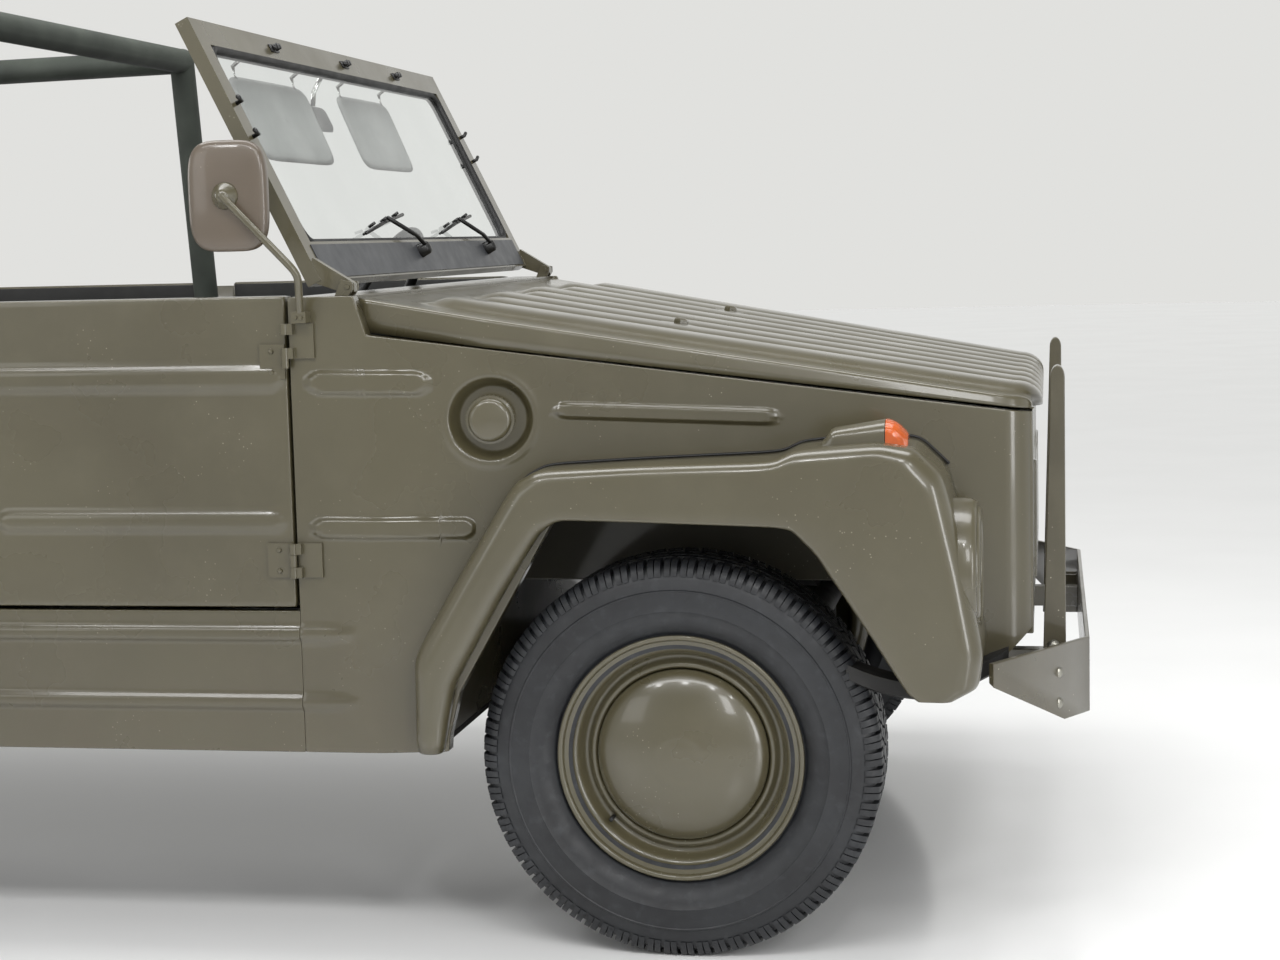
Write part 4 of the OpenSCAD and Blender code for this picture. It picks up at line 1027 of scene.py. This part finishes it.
def seat_cover(node, side, name, groove_x, groove_z):
    """Padded seat: a copy of the outline, remeshed finely, blown up as cloth and held to a small swell, then
    sewn channels pressed in: depth x exp(-(distance / 7 mm)^2)."""
    src = frame["nodes"][node]
    bm = bmesh.new()
    bm.from_mesh(src.data)
    bmesh.ops.remove_doubles(bm, verts=bm.verts, dist=1e-5)
    if side:
        bmesh.ops.delete(bm, geom=[v for v in bm.verts if v.co.y * side < 0], context="VERTS")
    me = bpy.data.meshes.new(name)
    bm.to_mesh(me)
    bm.free()
    o = place(name, me)
    m = o.modifiers.new("remesh", "REMESH")
    m.mode, m.voxel_size = "VOXEL", .009
    m = o.modifiers.new("round", "SMOOTH")
    m.factor, m.iterations = .6, 8
    fine = bpy.data.meshes.new_from_object(o.evaluated_get(bpy.context.evaluated_depsgraph_get()))
    o.modifiers.clear()
    o.data = fine
    rest = np.empty(len(fine.vertices) * 3)
    fine.vertices.foreach_get("co", rest)
    rest = rest.reshape(-1, 3)
    p = rest.copy()
    cloth = o.modifiers.new("cloth", "CLOTH")
    c = cloth.settings
    c.use_pressure, c.uniform_pressure_force, c.quality = True, 4.0, 4
    c.effector_weights.gravity = 0
    cloth.point_cache.frame_end = 20
    for f in range(1, 21):
        bpy.context.scene.frame_set(f)
    ev = o.evaluated_get(bpy.context.evaluated_depsgraph_get())
    got = np.empty(len(ev.data.vertices) * 3)
    ev.data.vertices.foreach_get("co", got)
    move = got.reshape(-1, 3) - rest
    size = np.linalg.norm(move, axis=1)[:, None]
    p = rest + move * np.minimum(1, .024 / np.maximum(size, 1e-6))
    o.modifiers.clear()
    bpy.context.scene.frame_set(1)
    n = np.empty(len(rest) * 3)
    fine.vertices.foreach_get("normal", n)
    n = n.reshape(-1, 3)
    up_face, front_face = np.clip(n[:, 2], 0, 1), np.clip(n[:, 0], 0, 1)
    dip = np.zeros(len(rest))
    for g in groove_x:
        dip += up_face * np.exp(-((rest[:, 0] - g) / .007) ** 2)
    for g in groove_z:
        dip += front_face * np.exp(-((rest[:, 2] - g) / .007) ** 2) * (rest[:, 0] < groove_x[0])
    p = p - n * (.0065 * np.minimum(dip, 1))[:, None]
    lo, hi = (np.array(v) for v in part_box(node))
    p = np.clip(p, lo - .008, hi + .008)
    p[:, 2] = np.maximum(p[:, 2], lo[2])
    fine.vertices.foreach_set("co", p.ravel())
    fine.materials.clear()
    fine.materials.append(M["vinyl"])
    fine.polygons.foreach_set("use_smooth", [True] * len(fine.polygons))
    fine.update()
    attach(o, "chassis")
    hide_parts(node)
    return o


left_seat = seat_cover("front_seats", 1, "front_seat_left_cover", (.02, .13, .24, .35), (.66, .77, .88, .99))
mirrored = left_seat.data.copy()
mirrored.transform(Matrix.Diagonal((1, -1, 1, 1)))
mirrored.flip_normals()
right_seat = place("front_seat_right_cover", mirrored)
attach(right_seat, "chassis")
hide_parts("front_seats")
seat_cover("rear_bench", 0, "rear_bench_cover", (-.70, -.59, -.48), (.70, .81, .92))

# ---- dressed CAD nodes

for node, mat, width in (
        ("nose_panel", "paint", .004), ("cowl", "paint", .003), ("tail_panel", "paint", .002),
        ("rear_deck", "paint_inner", .003), ("front_tray", "paint_inner", .003),
        ("floor_pan", "underseal", .003), ("front_bumper", "paint_worn", .002),
        ("rear_bumper", "paint_worn", .002), ("engine_lid", "paint", .002), ("hinge_leaves", "paint", .001),
        ("screen_frame", "paint", .003), ("roll_bar", "padding", 0), ("front_axle", "chassis", .002),
        ("rear_axle", "chassis", .002), ("knuckle_right", "chassis", .002), ("knuckle_left", "chassis", .002),
        ("transaxle", "casting", .02), ("engine", "casting", .02), ("exhaust", "exhaust", .004),
        ("steering_column", "plastic", .001), ("steering_wheel", "plastic", .0015),
        ("tail_lamps", "red", .006), ("screen_glass", "glass", 0)):
    dressed(node, mat, width)

# The upright bars get slimmer from their foot to their top, towards their front edge
bars = PIECES["front_bumper_finish"].data
BAR_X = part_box("front_bumper")[1].x - .038
for v in bars.vertices:
    if v.co.z > .50 and v.co.x < BAR_X + .002:
        share = min(1.0, (v.co.z - .50) / .36)
        v.co.x = BAR_X - (BAR_X - v.co.x) * (1 - .42 * share)

# ---- stage, light and camera

bpy.ops.mesh.primitive_plane_add(size=60)
floor = bpy.context.object
floor.name = "studio_floor"
m, t, s, w = material("pale_studio_floor", Roughness=0.16)
t.links.new(mix(t, ramp(t, noise(t, w, 1.5, 3), 0.3, 0.7), linear("#f2f2f1"), linear("#f7f7f6")),
            s.inputs["Base Color"])
floor.data.materials.append(m)

world = bpy.data.worlds.new("studio")
bpy.context.scene.world = world
world.use_nodes = True
t = world.node_tree
t.nodes.clear()
path = add(t, "LightPath")
seen = calc(t, "MAXIMUM", path.outputs["Is Camera Ray"], path.outputs["Is Transmission Ray"])
height = add(t, "SeparateXYZ", {0: add(t, "TexCoord").outputs["Generated"]}).outputs["Z"]
soft = add(t, "Background", {"Color": linear("#f4f5f6"), "Strength": 0.75})
white = add(t, "Background", {"Color": linear("#fbfbf8"), "Strength": 0.78})
room = add(t, "Background", {"Color": linear("#fbfbf8"), "Strength": ramp(t, height, .22, .62, .86, .36)})
out = add(t, "MixShader", {0: path.outputs["Is Glossy Ray"], 1: soft.outputs[0], 2: room.outputs[0]})
out = add(t, "MixShader", {0: seen, 1: out.outputs[0], 2: white.outputs[0]})
add(t, "OutputWorld", {0: out.outputs[0]})


def area(name, at, to, size, power, size_y=None):
    """Soft lamp at a place, aimed at another."""
    data = bpy.data.lights.new(name, "AREA")
    data.shape, data.size, data.size_y, data.energy = "RECTANGLE", size, size_y or size, power
    o = place(name, data)
    from_to = np.array(to, float) - at
    o.location = at
    o.rotation_euler = Vector(from_to).to_track_quat("-Z", "Y").to_euler()


area("ceiling", (0.6, -0.2, 4.2), (0.6, -0.4, 0.5), 5.0, 130, 1.3)
area("strip_near", (0.6, -3.2, 3.6), (0.6, -0.6, 0.6), 4.5, 55, .35)
area("key", (3.4, -4.4, 2.6), (1.2, 0, 0.6), .7, 34, 1.5)
area("fill", (-2.5, -4.5, 2.2), (0.4, 0, 0.7), 2.0, 22)
area("left_box", (-5.4, 0.5, 1.5), (0.9, -0.7, 0.5), .8, 55, 2.4)
area("right_box", (5.6, -3.3, 1.4), (1.6, -0.7, 0.6), .8, 60, 2.4)
for k, x in enumerate((-0.6, 0.9, 2.4, 3.9)):
    area(f"spot_{k}", (x, -3.4, 3.3), (0.9, -0.5, 0.5), 0.28, 9)

CAMERA = {"at": (1.825, -4.225, 1.159), "yaw": 10.36, "pitch": 6.15, "roll": -1.43, "focal": 2247.9}


def aim(c):
    """Camera whose yaw is to the left of +Y, its pitch below the horizon and its roll clockwise."""
    yaw, pitch, roll = (math.radians(c[k]) for k in ("yaw", "pitch", "roll"))
    fw = np.array([-math.sin(yaw) * math.cos(pitch), math.cos(yaw) * math.cos(pitch), -math.sin(pitch)])
    right = np.array([math.cos(yaw), math.sin(yaw), 0])
    up = np.cross(right, fw)
    r2 = math.cos(roll) * right + math.sin(roll) * up
    u2 = -math.sin(roll) * right + math.cos(roll) * up
    data = bpy.data.cameras.new("camera")
    data.sensor_width, data.lens = 36.0, c["focal"] * 36.0 / 1280
    o = place("camera", data)
    o.matrix_world = Matrix([[r2[i], u2[i], -fw[i], c["at"][i]] for i in range(3)] + [[0, 0, 0, 1]])
    bpy.context.scene.camera = o


aim(CAMERA)
bpy.context.scene.view_settings.view_transform = "Standard"
